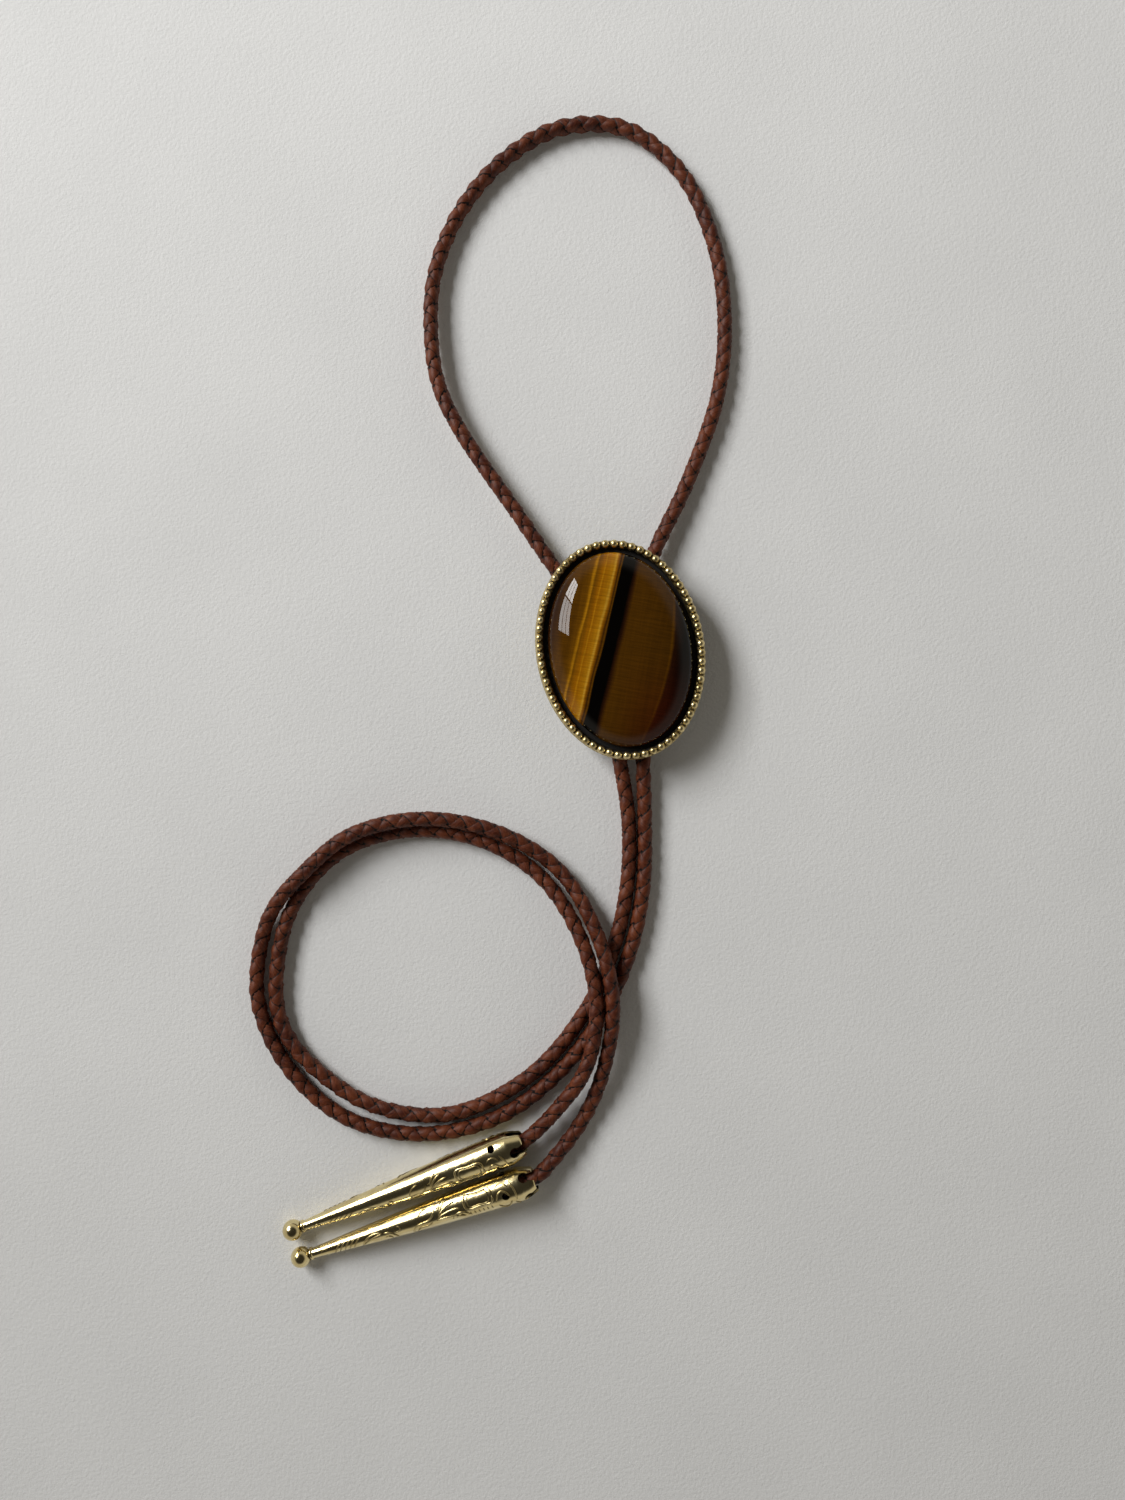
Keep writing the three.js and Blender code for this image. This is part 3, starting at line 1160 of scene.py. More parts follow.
    @staticmethod
    def _mesh(name: str, tubes: Sequence[Tube]) -> bpy.types.Object:
        """Makes one mesh of several tubes.

        Args:
            name: the piece's name.
            tubes: the tubes.

        Returns:
            The piece, shaded smooth, with its kept numbers and its UV map.
        """
        faces: list[tuple[int, ...]] = []
        first = 0
        for tube in tubes:
            faces.extend(tuple(first + corner for corner in face) for face in tube.faces)
            first += len(tube.points)
        mesh = bpy.data.meshes.new(name)
        mesh.from_pydata(np.vstack([tube.points for tube in tubes]).tolist(), [], faces)
        piece = bpy.data.objects.new(name, mesh)
        bpy.context.scene.collection.objects.link(piece)
        for kept in ("edge", "proud"):
            values = np.concatenate([getattr(tube, kept) for tube in tubes])
            mesh.attributes.new(kept, "FLOAT", "POINT").data.foreach_set("value", values)
        along = np.concatenate([tube.along for tube in tubes])
        across = np.concatenate([tube.across for tube in tubes])
        spots = np.stack([along, across], axis=1)
        corners = np.empty(len(mesh.loops), dtype=np.int32)
        mesh.loops.foreach_get("vertex_index", corners)
        mesh.uv_layers.new(name="lace").data.foreach_set("uv", spots[corners].ravel())
        mesh.shade_smooth()
        face_outwards(piece)
        return piece


# --- The slide ---------------------------------------------------------------------------------------


@dataclass(frozen=True)
class OvalRing:
    """One ring of the setting, in millimetres: its height and how far it lies outside the stone's edge."""

    height: float
    margin: float


@dataclass(frozen=True)
class SlidePlace:
    """Where the slide stands: its stone's half widths in metres and its lean."""

    half_width: float = 14.5 * MM
    half_length: float = 19.9 * MM
    lean: float = math.radians(10.7)

    def set_down(self, piece: bpy.types.Object) -> None:
        """Turns a piece, modelled upright round the slide's middle, to the slide's lean."""
        piece.data.transform(Matrix.Rotation(self.lean, 4, "Z"))
        piece.data.update()


@dataclass
class SlideSetting:
    """The slide's cast metal: back plate, rim, recess round the stone and the row of beads."""

    place: SlidePlace
    finish: Finish
    bead_count: int = 66
    bead_radius: float = 0.86 * MM
    bead_height: float = 7.0 * MM
    bead_margin: float = 1.8  # outside the stone's edge, in millimetres
    bead_cut: float = 0.45  # how far below its middle a bead is cut, as a share of its radius
    bead_foot: float = 1.12  # how much a bead spreads where it is cut
    bead_foot_black_and_shade: float = 0.72  # how dark a bead is at its foot, from black antiquing and painted shade
    gap_black_and_shade: float = 0.66  # how dark the rim is between the beads, from black antiquing and painted shade
    side_painted_shade: float = 0.3  # painted shade: how dark the plate's outer side is
    recess_edge: Pair = (0.98, 1.35)  # margins between which the recess's black ends
    side_margin: float = 1.5  # margin past which the plate's step is its outer side
    side_top: float = 5.95 * MM
    gap_heights: Pair = (6.85 * MM, 7.0 * MM)  # between which the rim turns dark, with black antiquing and painted shade
    bead_segments: int = 16
    bead_rings: int = 12
    smooth_angle: float = 38.0  # in degrees
    sides: int = 144
    profile: tuple[OvalRing, ...] = (
        OvalRing(5.10, -3.00),
        OvalRing(5.10, 2.45),
        OvalRing(5.18, 2.60),
        OvalRing(5.34, 2.68),
        OvalRing(5.72, 2.70),
        OvalRing(5.84, 2.67),
        OvalRing(5.90, 2.60),
        OvalRing(5.98, 2.54),
        OvalRing(6.40, 2.49),
        OvalRing(6.80, 2.46),
        OvalRing(6.96, 2.36),
        OvalRing(7.02, 2.20),
        OvalRing(7.02, 1.40),
        OvalRing(6.94, 1.18),
        OvalRing(6.78, 1.05),
        OvalRing(6.30, 1.00),
        OvalRing(5.98, 0.96),
        OvalRing(5.90, 0.86),
        OvalRing(5.90, -3.00),
    )

    def build(self) -> bpy.types.Object:
        """Casts the plate and the rim, sets the beads on the rim and turns the whole to the slide's lean.

        Returns:
            The setting.
        """
        half_x, half_y = self.place.half_width, self.place.half_length
        rings = [
            Ring(ring.height * MM, half_x + ring.margin * MM, half_y + ring.margin * MM)
            for ring in self.profile
        ]
        plate = turned_body("setting_plate", rings, self.sides)
        keep_number(plate, "antique", self._plate_black_and_shade)
        setting = join([plate, *self._beads()], "slide_setting_cast")
        smooth(setting, self.smooth_angle)
        self.place.set_down(setting)
        self.finish.dress(setting)
        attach(setting, ROOT)
        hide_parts("slide_setting")
        return setting

    def _plate_black_and_shade(self, spot: Vector) -> float:
        """How dark the plate is at a point: full black in the recess, partly dark between the beads from
        black antiquing and painted shade, and painted shade on its outer side.

        Args:
            spot: the point's place.

        Returns:
            From 0 for bright to 1 for black.
        """
        size = math.hypot(spot.x / self.place.half_width, spot.y / self.place.half_length)
        margin = (size - 1) * (self.place.half_width + self.place.half_length) / 2 / MM
        # painted shade on the plate's outer side
        if spot.z < self.side_top and margin > self.side_margin:
            return self.side_painted_shade
        recess = 1 - ramp_up(margin, *self.recess_edge)
        # black antiquing and painted shade on the rim between the beads
        between = self.gap_black_and_shade * ramp_up(spot.z, *self.gap_heights)
        return max(recess, between)

    def _bead(self) -> bpy.types.Object:
        """Models one bead on the origin: a ball cut flat below, where it sits in the rim.

        Returns:
            The bead.
        """
        bpy.ops.object.select_all(action="DESELECT")
        bpy.ops.mesh.primitive_uv_sphere_add(
            segments=self.bead_segments, ring_count=self.bead_rings, radius=self.bead_radius
        )
        bead = named("bead")
        foot = -self.bead_cut * self.bead_radius
        # height at which the bead's black and painted shade have faded to bright gold
        bright = 0.1 * self.bead_radius
        with editing(bead):
            bpy.ops.mesh.select_all(action="SELECT")
            bpy.ops.mesh.bisect(
                plane_co=(0, 0, foot), plane_no=(0, 0, 1), use_fill=True, clear_inner=True
            )
            pick(bead, Part.FACES, lambda middle, normal: normal.z < -0.99)
            bpy.ops.transform.resize(
                value=(self.bead_foot, self.bead_foot, 1), center_override=(0, 0, 0)
            )
        face_outwards(bead)
        # black antiquing and painted shade on the bead's lower part, fading out just above its middle
        keep_number(bead, "antique", lambda spot: self.bead_foot_black_and_shade * (1 - ramp_up(spot.z, foot, bright)))
        return bead

    def _beads(self) -> list[bpy.types.Object]:
        """Copies the bead along the rim, evenly spaced.

        Returns:
            The beads.
        """
        half_x = self.place.half_width + self.bead_margin * MM
        half_y = self.place.half_length + self.bead_margin * MM
        angles = np.linspace(0, 2 * math.pi, 2000)
        oval = np.stack([half_x * np.cos(angles), half_y * np.sin(angles)], axis=1)
        spots, _ = evenly(oval, self.bead_count + 1)
        first = self._bead()
        beads = []
        for number, (x, y) in enumerate(spots[: self.bead_count]):
            bead = twin(first, f"bead_{number:02d}")
            bead.data.transform(Matrix.Translation((x, y, self.bead_height)))
            beads.append(bead)
        bpy.data.objects.remove(first, do_unlink=True)
        return beads


@dataclass
class Cabochon:
    """The stone: an oval dome on a short straight girdle. Sizes are in metres."""

    place: SlidePlace
    finish: Finish
    base: float = 6.2 * MM
    girdle: float = 1.0 * MM
    dome: float = 5.0 * MM
    girdle_steps: tuple[Pair, ...] = ((0.7, 1.0), (0.3, 0.985))  # share of its height, size
    segments: int = 160
    smooth_angle: float = 40.0  # in degrees

    def build(self) -> bpy.types.Object:
        """Cuts a ball in two, stretches it to the stone's dome and draws its rim down to the girdle.

        Returns:
            The stone.
        """
        bpy.ops.object.select_all(action="DESELECT")
        bpy.ops.mesh.primitive_uv_sphere_add(
            segments=self.segments, ring_count=self.segments // 2, radius=self.place.half_width
        )
        stone = named("stone_polished")
        rim = self.base + self.girdle
        with editing(stone):
            bpy.ops.mesh.select_all(action="SELECT")
            bpy.ops.mesh.bisect(plane_co=(0, 0, 0), plane_no=(0, 0, 1), clear_inner=True)
            bpy.ops.mesh.select_all(action="SELECT")
            longer = self.place.half_length / self.place.half_width
            lower = self.dome / self.place.half_width
            bpy.ops.transform.resize(value=(1, longer, lower), center_override=(0, 0, 0))
            bpy.ops.transform.translate(value=(0, 0, rim))
        with editing(stone, Part.EDGES):
            pick(stone, Part.EDGES, lambda middle, normal: middle.z < rim + SAME_HEIGHT)
            for drop, inset in self.girdle_steps:
                bpy.ops.mesh.extrude_region_move(
                    TRANSFORM_OT_translate={"value": (0, 0, -drop * self.girdle)}
                )
                bpy.ops.transform.resize(value=(inset, inset, 1), center_override=(0, 0, self.base))
            bpy.ops.mesh.edge_face_add()
        face_outwards(stone)
        smooth(stone, self.smooth_angle)
        self.place.set_down(stone)
        self.finish.dress(stone)
        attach(stone, ROOT)
        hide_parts("stone_cabochon")
        return stone


@dataclass
class CordClasp:
    """The plain clasp behind the slide, with a channel for each run of the cord."""

    frame: Mapping[str, object]
    finish: Finish
    rounding: float = 0.25 * MM
    rounding_steps: int = 3
    rounded_angle: float = 60.0  # of the flattest edge that is rounded, in degrees
    smooth_angle: float = 35.0  # in degrees

    def build(self) -> bpy.types.Object:
        """Copies the clasp's block from the frame, joins its loose triangles and rounds its edges.

        Returns:
            The clasp.
        """
        clasp = twin(self.frame["nodes"]["cord_clasp"], "clasp_block")
        for key in list(clasp.keys()):
            del clasp[key]
        clasp.parent = None
        face_outwards(clasp)
        with editing(clasp):
            bpy.ops.mesh.select_all(action="SELECT")
            bpy.ops.mesh.dissolve_limited(angle_limit=math.radians(1.0))
        soften(clasp, self.rounding, self.rounded_angle, self.rounding_steps)
        smooth(clasp, self.smooth_angle)
        self.finish.dress(clasp)
        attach(clasp, ROOT)
        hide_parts("cord_clasp")
        return clasp


# --- The cord tips -----------------------------------------------------------------------------------


@dataclass(frozen=True)
class TipPlace:
    """Where a tip lies: its ball's middle in metres, and its directions in degrees."""

    name: str
    node: str
    x: float
    y: float
    direction: float
    roll: float
    pattern_turn: float


@dataclass(frozen=True)
class Stroke:
    """One raised line of the scroll pattern: places along the tip and round it, in millimetres."""

    places: tuple[Pair, ...]
    width: float


@dataclass(frozen=True)
class ScrollPattern:
    """The scrolls stamped on a tip, drawn flat: places along the tip and round it, in millimetres."""

    bold: float = 0.36  # widths of a bold, a plain and a fine line
    plain: float = 0.29
    fine: float = 0.24
    line_places: int = 7
    curl_places: int = 10
    curl_tightens: float = 0.6  # how much nearer its middle a curl ends
    outline_places: int = 25
    hatch_start: float = 7.5
    hatch_step: float = 1.05
    hatch_count: int = 5
    leaf_start: float = 13.5
    wave_start: float = 24.5
    fan_root: Pair = (30.0, 1.0)
    fan_count: int = 5
    fan_spread: Pair = (-8.0, 17.0)  # the first feather's direction and the step to the next, in degrees
    fan_reach: Pair = (6.2, 0.75)  # the first feather's length and how much shorter the next is
    panel_middle: Pair = (39.5, 2.0)
    panel_reach: Pair = (3.0, 1.8)  # half its length and half its width
    panel_sizes: Pair = (1.0, 0.76)  # of its outer and its inner outline
    panel_waist: float = 0.2  # how much the panel narrows in its middle
    panel_square: float = 0.55  # 1 is an oval; less is squarer
    tick_count: int = 6
    tick_step: float = 0.92
    mouth_start: float = 43.0

    def strokes(self) -> list[Stroke]:
        """All the raised lines, from the ball to the mouth."""
        motifs = (self._hatching, self._leaf, self._wave, self._fan, self._panel, self._mouth)
        return [stroke for motif in motifs for stroke in motif()]

    def _line(self, start: Pair, end: Pair, width: float, bow: float = 0.0, sway: float = 0.0) -> Stroke:
        """Draws a line that may bow to its left or sway to both sides.

        Args:
            start: where it starts.
            end: where it ends.
            width: how wide it is.
            bow: how far its middle stands to the left.
            sway: how far it sways, first to the left and then to the right.

        Returns:
            The line.
        """
        first, last = np.array(start), np.array(end)
        ahead = (last - first) / np.linalg.norm(last - first)
        left = np.array((-ahead[1], ahead[0]))
        places = []
        for share in np.linspace(0, 1, self.line_places):
            aside = bow * 4 * share * (1 - share) + sway * math.sin(2 * math.pi * share)
            along, across = first + (last - first) * share + left * aside
            places.append((float(along), float(across)))
        return Stroke(tuple(places), width)

    def _curl(self, middle: Pair, radius: float, start: float, turns: float, width: float) -> Stroke:
        """Draws a line that curls inwards.

        Args:
            middle: what it curls round.
            radius: how far from the middle it starts.
            start: the direction from the middle to its start, in degrees.
            turns: how far it goes round, counter-clockwise if more than 0.
            width: how wide it is.

        Returns:
            The line.
        """
        places = []
        for share in np.linspace(0, 1, self.curl_places):
            angle = math.radians(start) + 2 * math.pi * turns * share
            reach = radius * (1 - self.curl_tightens * share)
            places.append((middle[0] + reach * math.cos(angle), middle[1] + reach * math.sin(angle)))
        return Stroke(tuple(places), width)

    def _hatching(self) -> list[Stroke]:
        """Slanted strokes side by side behind the ball."""
        starts = [self.hatch_start + number * self.hatch_step for number in range(self.hatch_count)]
        slants = [self._line((start, -0.8), (start + 1.9, 1.3), self.fine, bow=0.2) for start in starts]
        return [self._line((4.6, 0.2), (6.4, 0.2), self.fine, bow=0.6), *slants]

    def _leaf(self) -> list[Stroke]:
        """A leaf with one vein, and the bud on its tip.

        Returns:
            Its lines.
        """
        root, tip = (self.leaf_start, -1.0), (self.leaf_start + 5.0, 0.7)
        end = (self.leaf_start + 7.8, -1.7)
        return [
            self._line(root, tip, self.plain, bow=1.1),
            self._line(root, tip, self.fine, bow=0.4),
            self._line(tip, end, self.plain, bow=0.8),
            self._line((tip[0] + 0.3, tip[1] - 1.0), (end[0] - 1.2, end[1] + 0.4), self.fine, bow=0.5),
            self._curl((tip[0] + 3.2, tip[1] + 0.2), 0.8, 180.0, 0.9, self.fine),
        ]

    def _wave(self) -> list[Stroke]:
        """A tendril that sways up to the fan's root, and a shorter one under it.

        Returns:
            Its lines.
        """
        start = self.wave_start
        return [
            self._line((start, -1.9), (start + 5.6, 2.6), self.plain, bow=0.2, sway=0.75),
            self._line((start + 1.0, -1.5), (start + 4.6, 0.0), self.fine, bow=0.3, sway=0.3),
            self._line((start + 1.6, 1.2), (start + 4.0, 3.0), self.fine, bow=0.5),
            self._curl((start + 6.2, 3.4), 0.9, -110.0, 0.9, self.fine),
        ]

    def _fan(self) -> list[Stroke]:
        """Feathers that spread from one root, and a drop below them.

        Returns:
            Its lines.
        """
        feathers = []
        for number in range(self.fan_count):
            angle = math.radians(self.fan_spread[0] + self.fan_spread[1] * number)
            reach = self.fan_reach[0] - self.fan_reach[1] * number
            start = (self.fan_root[0] + 0.25 * number, self.fan_root[1] - 0.9 + 0.35 * number)
            end = (start[0] + reach * math.cos(angle), start[1] + reach * math.sin(angle))
            feathers.append(self._line(start, end, self.plain, bow=0.45))
        drop = (self.fan_root[0] + 3.3, -0.7)
        return [
            *feathers,
            self._line(drop, (drop[0] + 3.8, -0.8), self.plain, bow=1.2),
            self._line((drop[0] + 0.9, -0.6), (drop[0] + 2.8, -0.7), self.fine, bow=0.5),
        ]

    def _panel(self) -> list[Stroke]:
        """A cushion-shaped panel with a double outline, and a row of ticks below it.

        Returns:
            Its lines.
        """
        outlines = []
        for size, width in zip(self.panel_sizes, (self.bold, self.fine)):
            places = []
            for angle in np.linspace(0, 2 * math.pi, self.outline_places):
                x = squared_off(math.cos(angle), self.panel_square)
                y = squared_off(math.sin(angle), self.panel_square)
                waist = 1 - self.panel_waist * (1 - x * x) ** 2
                along = self.panel_middle[0] + size * self.panel_reach[0] * x
                places.append((along, self.panel_middle[1] + size * self.panel_reach[1] * y * waist))
            outlines.append(Stroke(tuple(places), width))
        first = self.panel_middle[0] - 2.3
        ticks = [first + self.tick_step * number for number in range(self.tick_count)]
        return [*outlines, *(self._line((tick, -0.2), (tick + 0.1, -1.1), self.fine) for tick in ticks)]

    def _mouth(self) -> list[Stroke]:
        """Petals round the pin hole and two bars before the tabs.

        Returns:
            Its lines.
        """
        start = self.mouth_start
        return [
            self._line((start, 0.2), (start + 3.2, 0.4), self.plain, bow=1.8),
            self._line((start + 0.3, -0.7), (start + 3.1, -0.6), self.plain, bow=-1.6),
            self._line((start + 0.3, 2.9), (start + 3.1, 2.5), self.fine, bow=0.9),
            self._line((start + 3.3, 3.7), (start + 4.2, -0.6), self.plain, bow=0.5),
            self._line((start + 3.7, -1.2), (start + 4.4, -3.4), self.fine, bow=0.3),
        ]


@dataclass
class CordTip:
    """One tapered, embossed tip with a ball end and four bent tabs. Sizes are in millimetres."""

    finish: Finish
    pattern: ScrollPattern = ScrollPattern()
    ball_radius: float = 2.1
    neck_radius: float = 0.95
    shoulder_radius: float = 3.425
    swell: float = 1.45  # how early the body widens: 1 is a straight cone
    wall: float = 0.45
    body_length: float = 48.3
    tab_length: float = 3.2
    tab_slope: float = 0.305  # how much the tabs bend inwards for each step along them
    tab_bulge: float = 0.05
    socket_start: float = 9.6
    socket_rings: int = 10
    pin_radius: float = 0.8
    pin_place: float = 45.2
    notch_radius: float = 1.05
    notch_place: float = 1.3  # past the shoulder
    slot_width: float = 1.2
    slot_flare: float = 1.6
    line_gain: float = 1.45  # how much bolder the scrolls are than their strokes' widths
    tab_count: int = 4
    tab_rings: tuple[float, ...] = (0.15, 0.4, 0.9, 1.5, 2.2)  # past the shoulder
    sides: int = 80
    ball_rings: int = 18
    collar: tuple[Pair, ...] = (  # places along the axis, and radii
        (1.96, 0.88),
        (2.06, 0.88),
        (2.14, 1.08),
        (2.26, 1.24),
        (2.44, 1.28),
        (2.62, 1.22),
        (2.74, 1.04),
    )
    body_start: float = 2.86
    body_rings: int = 28
    cutter_sides: int = 28
    cutter_middle: float = 3.0  # how far a cutter's middle lies from the axis
    cutter_length: float = 4.0
    line_step: float = 0.28  # between two points of a raised line
    line_taper: float = 0.7  # how far from its ends a raised line thins
    line_end: float = 0.35  # how thick it is there, as a share
    line_sink: float = 0.06  # how deep its middle lies in the body, as a share of its width
    line_bright: Pair = (0.07, 0.21)  # heights between which its painted shade fades to bright gold

    def place_matrix(self, place: TipPlace) -> Matrix:
        """Turns the upright tip of the model to where a tip lies.

        Args:
            place: where it lies.

        Returns:
            The matrix, in metres.
        """
        pitch = max(
            math.atan2(self.radius_at(along) - self.ball_radius, along)
            for along in np.linspace(self.body_length / 2, self.body_length, 40)
        )
        heading = math.radians(place.direction)
        ahead = Vector(
            (math.cos(heading) * math.cos(pitch), math.sin(heading) * math.cos(pitch), math.sin(pitch))
        )
        top = (Vector((0, 0, 1)) - ahead * ahead.z).normalized()
        turned = Matrix((top, ahead.cross(top), ahead)).transposed().to_4x4()
        return Matrix.Translation((place.x, place.y, self.ball_radius * MM)) @ turned

    def mouth(self, place: TipPlace) -> Point:
        """The middle of a tip's open end."""
        spot = self.place_matrix(place) @ Vector((0, 0, (self.body_length + self.tab_length) * MM))
        return tuple(spot)

    def radius_at(self, along: float) -> float:
        """The body's outer radius at a place along it. It widens fast at first, then slower."""
        start = math.sqrt(self.ball_radius**2 - self.neck_radius**2)
        left = max(0.0, (self.body_length - along) / (self.body_length - start))
        return self.neck_radius + (self.shoulder_radius - self.neck_radius) * (1 - left**self.swell)

    def tab_radius(self, past: float) -> float:
        """The tabs' outer radius at a place past the shoulder."""
        bulge = self.tab_bulge * math.sin(math.pi * past / self.tab_length)
        return self.shoulder_radius - self.tab_slope * past + bulge

    def build(self, places: Sequence[TipPlace]) -> list[bpy.types.Object]:
        """Models one tip and lays a copy of it at each place.

        Args:
            places: where the tips lie.

        Returns:
            The tips.
        """
        shell = self._shell()
        tips = []
        for place in places:
            body = twin(shell, place.name)
            body.data.transform(Matrix.Rotation(math.radians(-place.roll), 4, "Z"))
            scrolls = self._scrolls(place)
            tip = join([body, *scrolls], place.name)
            tip.data.transform(self.place_matrix(place))
            self.finish.dress(tip)
            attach(tip, ROOT)
            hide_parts(place.node)
            tips.append(tip)
        bpy.data.objects.remove(shell, do_unlink=True)
        return tips

    def _profile(self) -> list[Pair]:
        """Draws the shell's outline: ball, collar, body, tabs and socket.

        Returns:
            Places along the axis, and radii.
        """
        ball = self.ball_radius
        neck_angle = math.asin(self.neck_radius / ball)
        outline = []
        for number in range(1, self.ball_rings + 1):
            angle = math.pi - number / self.ball_rings * (math.pi - neck_angle)
            outline.append((ball * math.cos(angle), ball * math.sin(angle)))
        outline += self.collar
        body = np.linspace(self.body_start, self.body_length - 0.2, self.body_rings)
        outline += [(along, self.radius_at(along)) for along in body]
        bend, long = self.body_length, self.tab_length
        outline += [(bend + past, self.tab_radius(past)) for past in (*self.tab_rings, long - 0.3)]
        tip = self.tab_radius(long)
        outline += [(bend + long - 0.08, tip), (bend + long, tip - 0.1)]
        outline += [(bend + long, tip - self.wall + 0.1), (bend + long - 0.08, tip - self.wall)]
        outline += [(bend + past, self.tab_radius(past) - self.wall) for past in (long - 0.4, 1.5, 0.3)]
        inside = np.linspace(bend - 0.4, self.socket_start, self.socket_rings)
        outline += [(along, self.radius_at(along) - self.wall) for along in inside]
        return outline

    def _shell(self) -> bpy.types.Object:
        """Turns the shell, then cuts the notches between its tabs and its pin holes.

        Returns:
            The shell, upright on the origin.
        """
        rings = [Ring(along * MM, radius * MM, radius * MM) for along, radius in self._profile()]
        shell = turned_body("tip_shell", rings, self.sides, End.POLE, End.POLE)
        for number in range(self.tab_count):
            tab = 2 * math.pi * number / self.tab_count
            between = tab + math.pi / self.tab_count
            cut_away(shell, self._bar(self.pin_radius, self.pin_place, tab))
            cut_away(shell, self._bar(self.notch_radius, self.body_length + self.notch_place, between))
            cut_away(shell, self._slot(between))
        face_outwards(shell)
        keep_number(shell, "inner", self._inner)
        keep_number(shell, "groove", self._collar_groove)
        smooth(shell, 32.0)
        return shell

    def _inner(self, spot: Vector) -> float:
        """Whether a point of the shell is on its inner side, which the finish paints in shade.

        Args:
            spot: the point's place.

        Returns:
            From 0 for the outer side to 1 for the inner one.
        """
        along, radius = spot.z / MM, math.hypot(spot.x, spot.y) / MM
        if along < self.socket_start - 0.1:
            return 0.0
        outer = self.radius_at(along)
        if along > self.body_length:
            outer = self.tab_radius(along - self.body_length)
        return ramp_up(outer - radius, 0.2, 0.34)

    @staticmethod
    def _collar_groove(spot: Vector) -> float:
        """Whether a point of the shell is in the groove between its ball and its collar, which the finish
        paints in shade.
        """
        along, radius = spot.z / MM, math.hypot(spot.x, spot.y) / MM
        return 1.0 if 1.8 < along < 2.2 and radius < 1.1 else 0.0

    def _bar(self, radius: float, along: float, angle: float) -> bpy.types.Object:
        """A round bar that points outwards from the tip's axis, to cut with.

        Args:
            radius: its radius, in millimetres.
            along: its place along the axis, in millimetres.
            angle: its direction round the axis, in radians.

        Returns:
            The bar.
        """
        reach = self.cutter_middle * MM
        bpy.ops.object.select_all(action="DESELECT")
        bpy.ops.mesh.primitive_cylinder_add(
            vertices=self.cutter_sides,
            radius=radius * MM,
            depth=self.cutter_length * MM,
            location=(reach * math.cos(angle), reach * math.sin(angle), along * MM),
            rotation=(0, math.pi / 2, angle),
        )
        bar = named("cutting_bar")
        settle(bar)
        return bar

    def _slot(self, angle: float) -> bpy.types.Object:
        """A slot that widens to the mouth, to cut between two tabs.

        Args:
            angle: its direction round the axis, in radians.

        Returns:
            The slot's solid.
        """
        low = (self.body_length + self.notch_place) * MM
        high = (self.body_length + self.tab_length + 0.4) * MM
        bpy.ops.object.select_all(action="DESELECT")
        bpy.ops.mesh.primitive_cube_add(
            size=1.0, location=(self.cutter_middle * MM, 0, (low + high) / 2)
        )
        slot = named("cutting_slot")
        slot.scale = (self.cutter_length * MM, self.slot_width * MM, high - low)
        settle(slot)
        with editing(slot):
            pick(slot, Part.FACES, lambda middle, normal: normal.z > 0.9)
            bpy.ops.transform.resize(value=(1, self.slot_flare, 1), center_override=(0, 0, high))
        slot.data.transform(Matrix.Rotation(angle, 4, "Z"))
        return slot

    def _scrolls(self, place: TipPlace) -> list[bpy.types.Object]:
        """Lays the scroll pattern on the front and on the back of the body.

        Args:
            place: where the tip lies, which gives the pattern's turn.

        Returns:
            The raised lines, as closed meshes.
        """
        lines = []
        for side in (0.0, math.pi):
            turn = math.radians(-place.pattern_turn) + side
            for number, stroke in enumerate(self.pattern.strokes()):
                lines.append(self._raised_line(f"line_{number:02d}", stroke, turn))
        return lines

    def _raised_line(self, name: str, stroke: Stroke, turn: float) -> bpy.types.Object:
        """Makes one raised line that follows the body's surface and thins out at its ends.

        Args:
            name: the line's name.
            stroke: the line.
            turn: of the pattern round the axis, in radians.

        Returns:
            The line as a mesh.
        """
        flat = smooth_line(np.array(stroke.places), 8)
        flat, length = evenly(flat, max(5, int(length_of(flat) / self.line_step)))
        curve = bpy.data.curves.new(name, "CURVE")
        curve.dimensions = "3D"
        curve.bevel_depth = stroke.width / 2 * self.line_gain * MM
        curve.bevel_resolution = 1
        curve.use_fill_caps = True
        spline = curve.splines.new("POLY")
        spline.points.add(len(flat) - 1)
        lengths = np.linspace(0, length, len(flat))
        for point, (along, round_it), reached in zip(spline.points, flat, lengths):
            radius = self.radius_at(along)
            angle = turn - round_it / radius
            depth = radius - self.line_sink * stroke.width
            point.co = (depth * math.cos(angle) * MM, depth * math.sin(angle) * MM, along * MM, 1)
            whole = min(1.0, min(reached, length - reached) / self.line_taper)
            point.radius = self.line_end + (1 - self.line_end) * whole
        line = bpy.data.objects.new(name, curve)
        bpy.context.scene.collection.objects.link(line)
        activate(line)
        bpy.ops.object.convert(target="MESH")
        line = named(name)
        line.data.shade_smooth()
        keep_number(line, "inner", lambda spot: 0.0)
        keep_number(line, "groove", self._beside_line)
        return line

    def _beside_line(self, spot: Vector) -> float:
        """How deep a raised line's point sits: 1 at the body's surface, 0 on the line's crest. The finish
        paints shade where it sits deep.
        """
        above = math.hypot(spot.x, spot.y) / MM - self.radius_at(spot.z / MM)
        return 1.0 - ramp_up(above, *self.line_bright)


def length_of(line: np.ndarray) -> float:
    """The length of a line of points."""
    return float(np.linalg.norm(np.diff(line, axis=0), axis=1).sum())


# --- The studio --------------------------------------------------------------------------------------


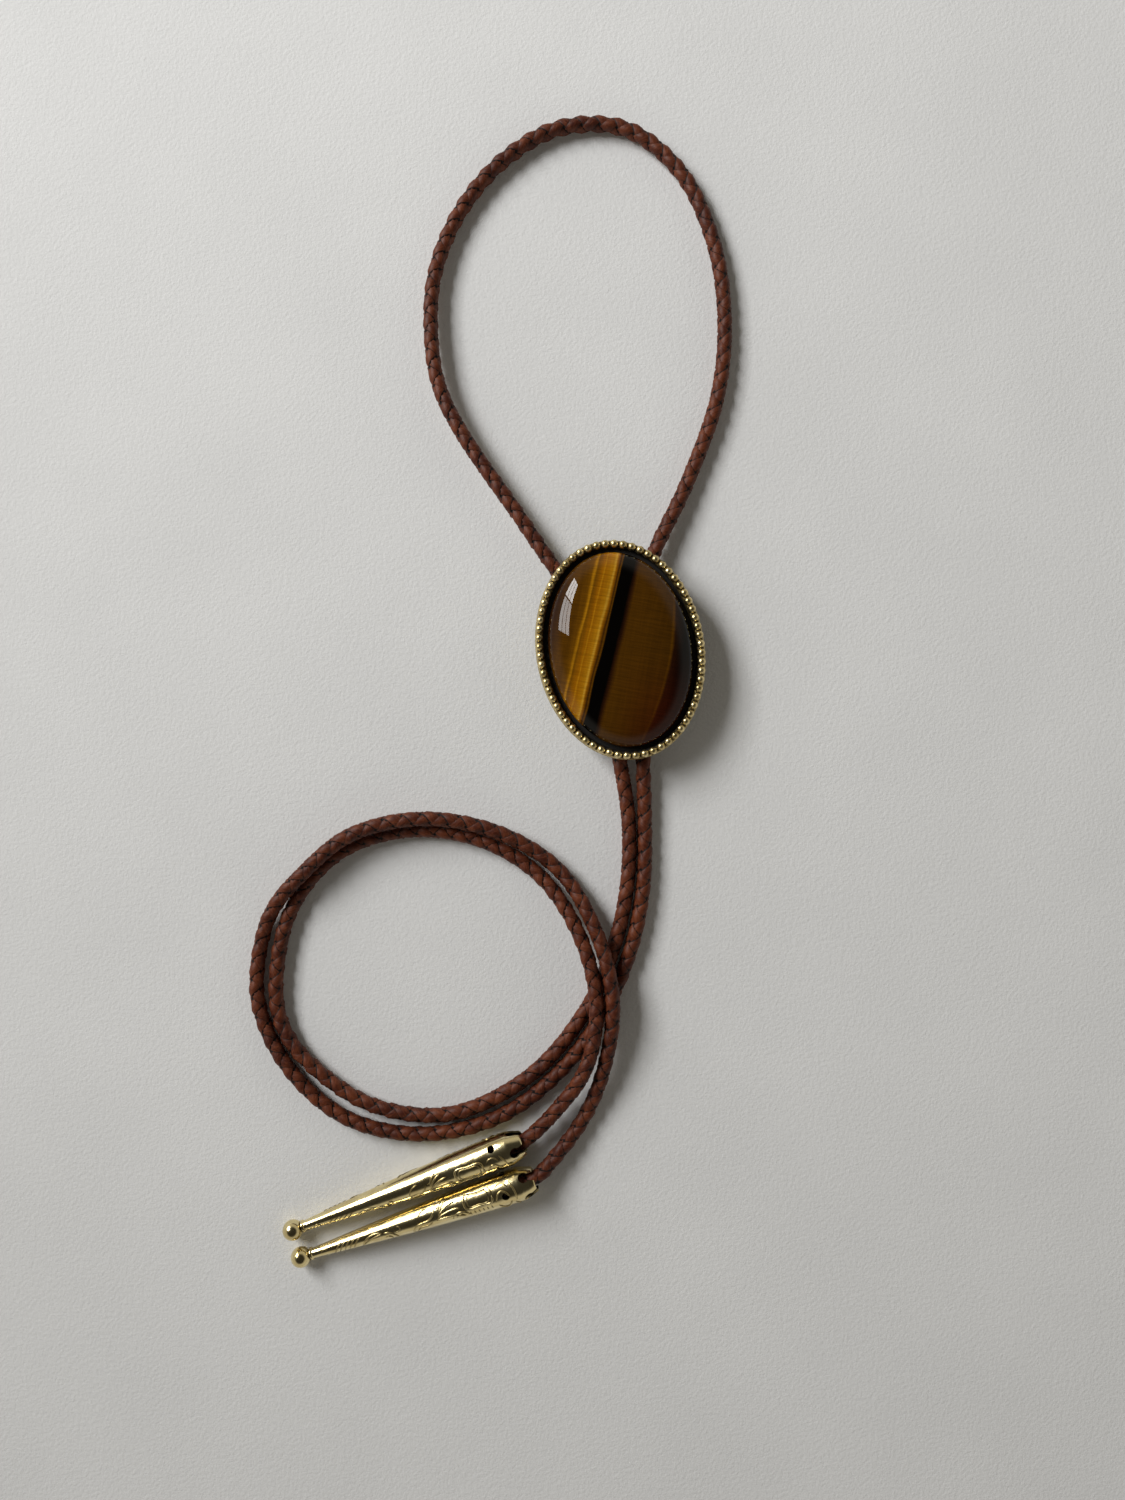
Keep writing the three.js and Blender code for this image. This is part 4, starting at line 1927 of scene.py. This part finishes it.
@dataclass
class Studio:
    """Floor, camera, a window of soft light on the upper left, and the room's own light."""

    floor_finish: Finish
    camera_place: Point = (-11.8 * MM, -20.4 * MM, 236.0 * MM)
    field_height: float = 0.666  # half the view's height over the distance
    floor_size: float = 4.0
    floor_height: float = -0.2 * MM
    window_place: Point = (-0.72, 0.485, 0.67)  # the window's middle
    window_width: float = 0.67
    window_height: float = 0.50
    bar: float = 0.022  # width of the bars between the panes
    window_power: float = 16.5
    rows: int = 3
    column_shares: Pair = (0.36, 0.64)  # of the window's power, near column first
    daylight: tuple[float, float, float] = (1.0, 0.99, 0.97)
    room_colour: Colour = (1.0, 0.93, 0.80, 1.0)
    room_low: float = 0.45  # brightness of the room near the floor
    room_high: float = 0.03  # brightness overhead
    room_fade: Pair = (0.42, 0.70)  # upward directions between which it fades

    def build(self) -> None:
        """Builds the studio round the tie."""
        self._camera()
        self._floor()
        self._window()
        self._room_light()
        bpy.context.scene.view_settings.view_transform = "Standard"
        bpy.context.scene.view_settings.look = "None"

    def _camera(self) -> None:
        """Hangs the camera straight above, with +Y at the top of its view."""
        camera = bpy.data.cameras.new("camera")
        camera.sensor_width = 36.0
        camera.lens = camera.sensor_width / 2 / self.field_height
        camera.clip_start = 0.01
        camera.clip_end = 20.0
        holder = bpy.data.objects.new("camera", camera)
        holder.location = self.camera_place
        bpy.context.scene.collection.objects.link(holder)
        bpy.context.scene.camera = holder

    def _floor(self) -> None:
        """Lays the floor just below the tie."""
        bpy.ops.object.select_all(action="DESELECT")
        bpy.ops.mesh.primitive_plane_add(size=self.floor_size, location=(0, 0, self.floor_height))
        floor = named("floor")
        settle(floor)
        self.floor_finish.dress(floor)

    def _window(self) -> None:
        """Hangs six panes of light, in two columns and three rows, in the wall on the left."""
        columns, rows = len(self.column_shares), self.rows
        pane_width = (self.window_width - self.bar * (columns - 1)) / columns
        pane_height = (self.window_height - self.bar * (rows - 1)) / rows
        for column, share in enumerate(self.column_shares):
            for row in range(rows):
                light = bpy.data.lights.new(f"pane_{column}{row}", "AREA")
                light.shape = "RECTANGLE"
                light.size, light.size_y = pane_width, pane_height
                light.energy = self.window_power * share / rows
                light.color = self.daylight
                pane = bpy.data.objects.new(light.name, light)
                sideways = (column - (columns - 1) / 2) * (pane_width + self.bar)
                upward = (row - (rows - 1) / 2) * (pane_height + self.bar)
                pane.location = Vector(self.window_place) + Vector((0, sideways, upward))
                pane.rotation_mode = "QUATERNION"
                pane.rotation_quaternion = Vector((1, 0, 0)).to_track_quat("-Z", "Y")
                pane.visible_camera = False
                bpy.context.scene.collection.objects.link(pane)

    def _room_light(self) -> None:
        """Lights the room: warm grey along the walls and dark overhead."""
        world = bpy.data.worlds.new("room")
        bpy.context.scene.world = world
        shader = Shader(world)
        way = shader.out("TexCoord", output="Generated")
        _, _, upward = shader.parts(way)
        overhead = upward.between(*self.room_fade)
        strength = self.room_low + overhead * (self.room_high - self.room_low)
        background = shader.out("Background", sockets={"Color": self.room_colour, "Strength": strength})
        shader.node("OutputWorld", sockets={"Surface": background})


TIP_PLACES = (
    TipPlace("tip_upper_shell", "tip_upper", -67.8 * MM, -120.1 * MM, 21.3, 35.0, -55.0),
    TipPlace("tip_lower_shell", "tip_lower", -66.1 * MM, -125.7 * MM, 19.1, -8.0, -20.0),
)


def count_triangles(piece: bpy.types.Object) -> int:
    """How many triangles a piece's mesh has."""
    piece.data.calc_loop_triangles()
    return len(piece.data.loop_triangles)


def main() -> None:
    """Builds the studio and the tie, and logs how many triangles each new piece has."""
    logging.basicConfig(level=logging.INFO, format="%(name)s: %(message)s")
    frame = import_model()

    Studio(PaperSurface()).build()
    LOG.info("studio")

    tip = CordTip(PolishedGold())
    place = SlidePlace()
    pieces = [
        BraidedCord(BraidedLeather(), exit=tip.mouth(TIP_PLACES[0])).build(),
        SlideSetting(place, AntiqueGold()).build(),
        Cabochon(place, TigerEye()).build(),
        CordClasp(frame, BrushedBrass()).build(),
        *tip.build(TIP_PLACES),
    ]
    for piece in pieces:
        LOG.info("%s: %d triangles", piece.name, count_triangles(piece))


if __name__ == "__main__":
    main()
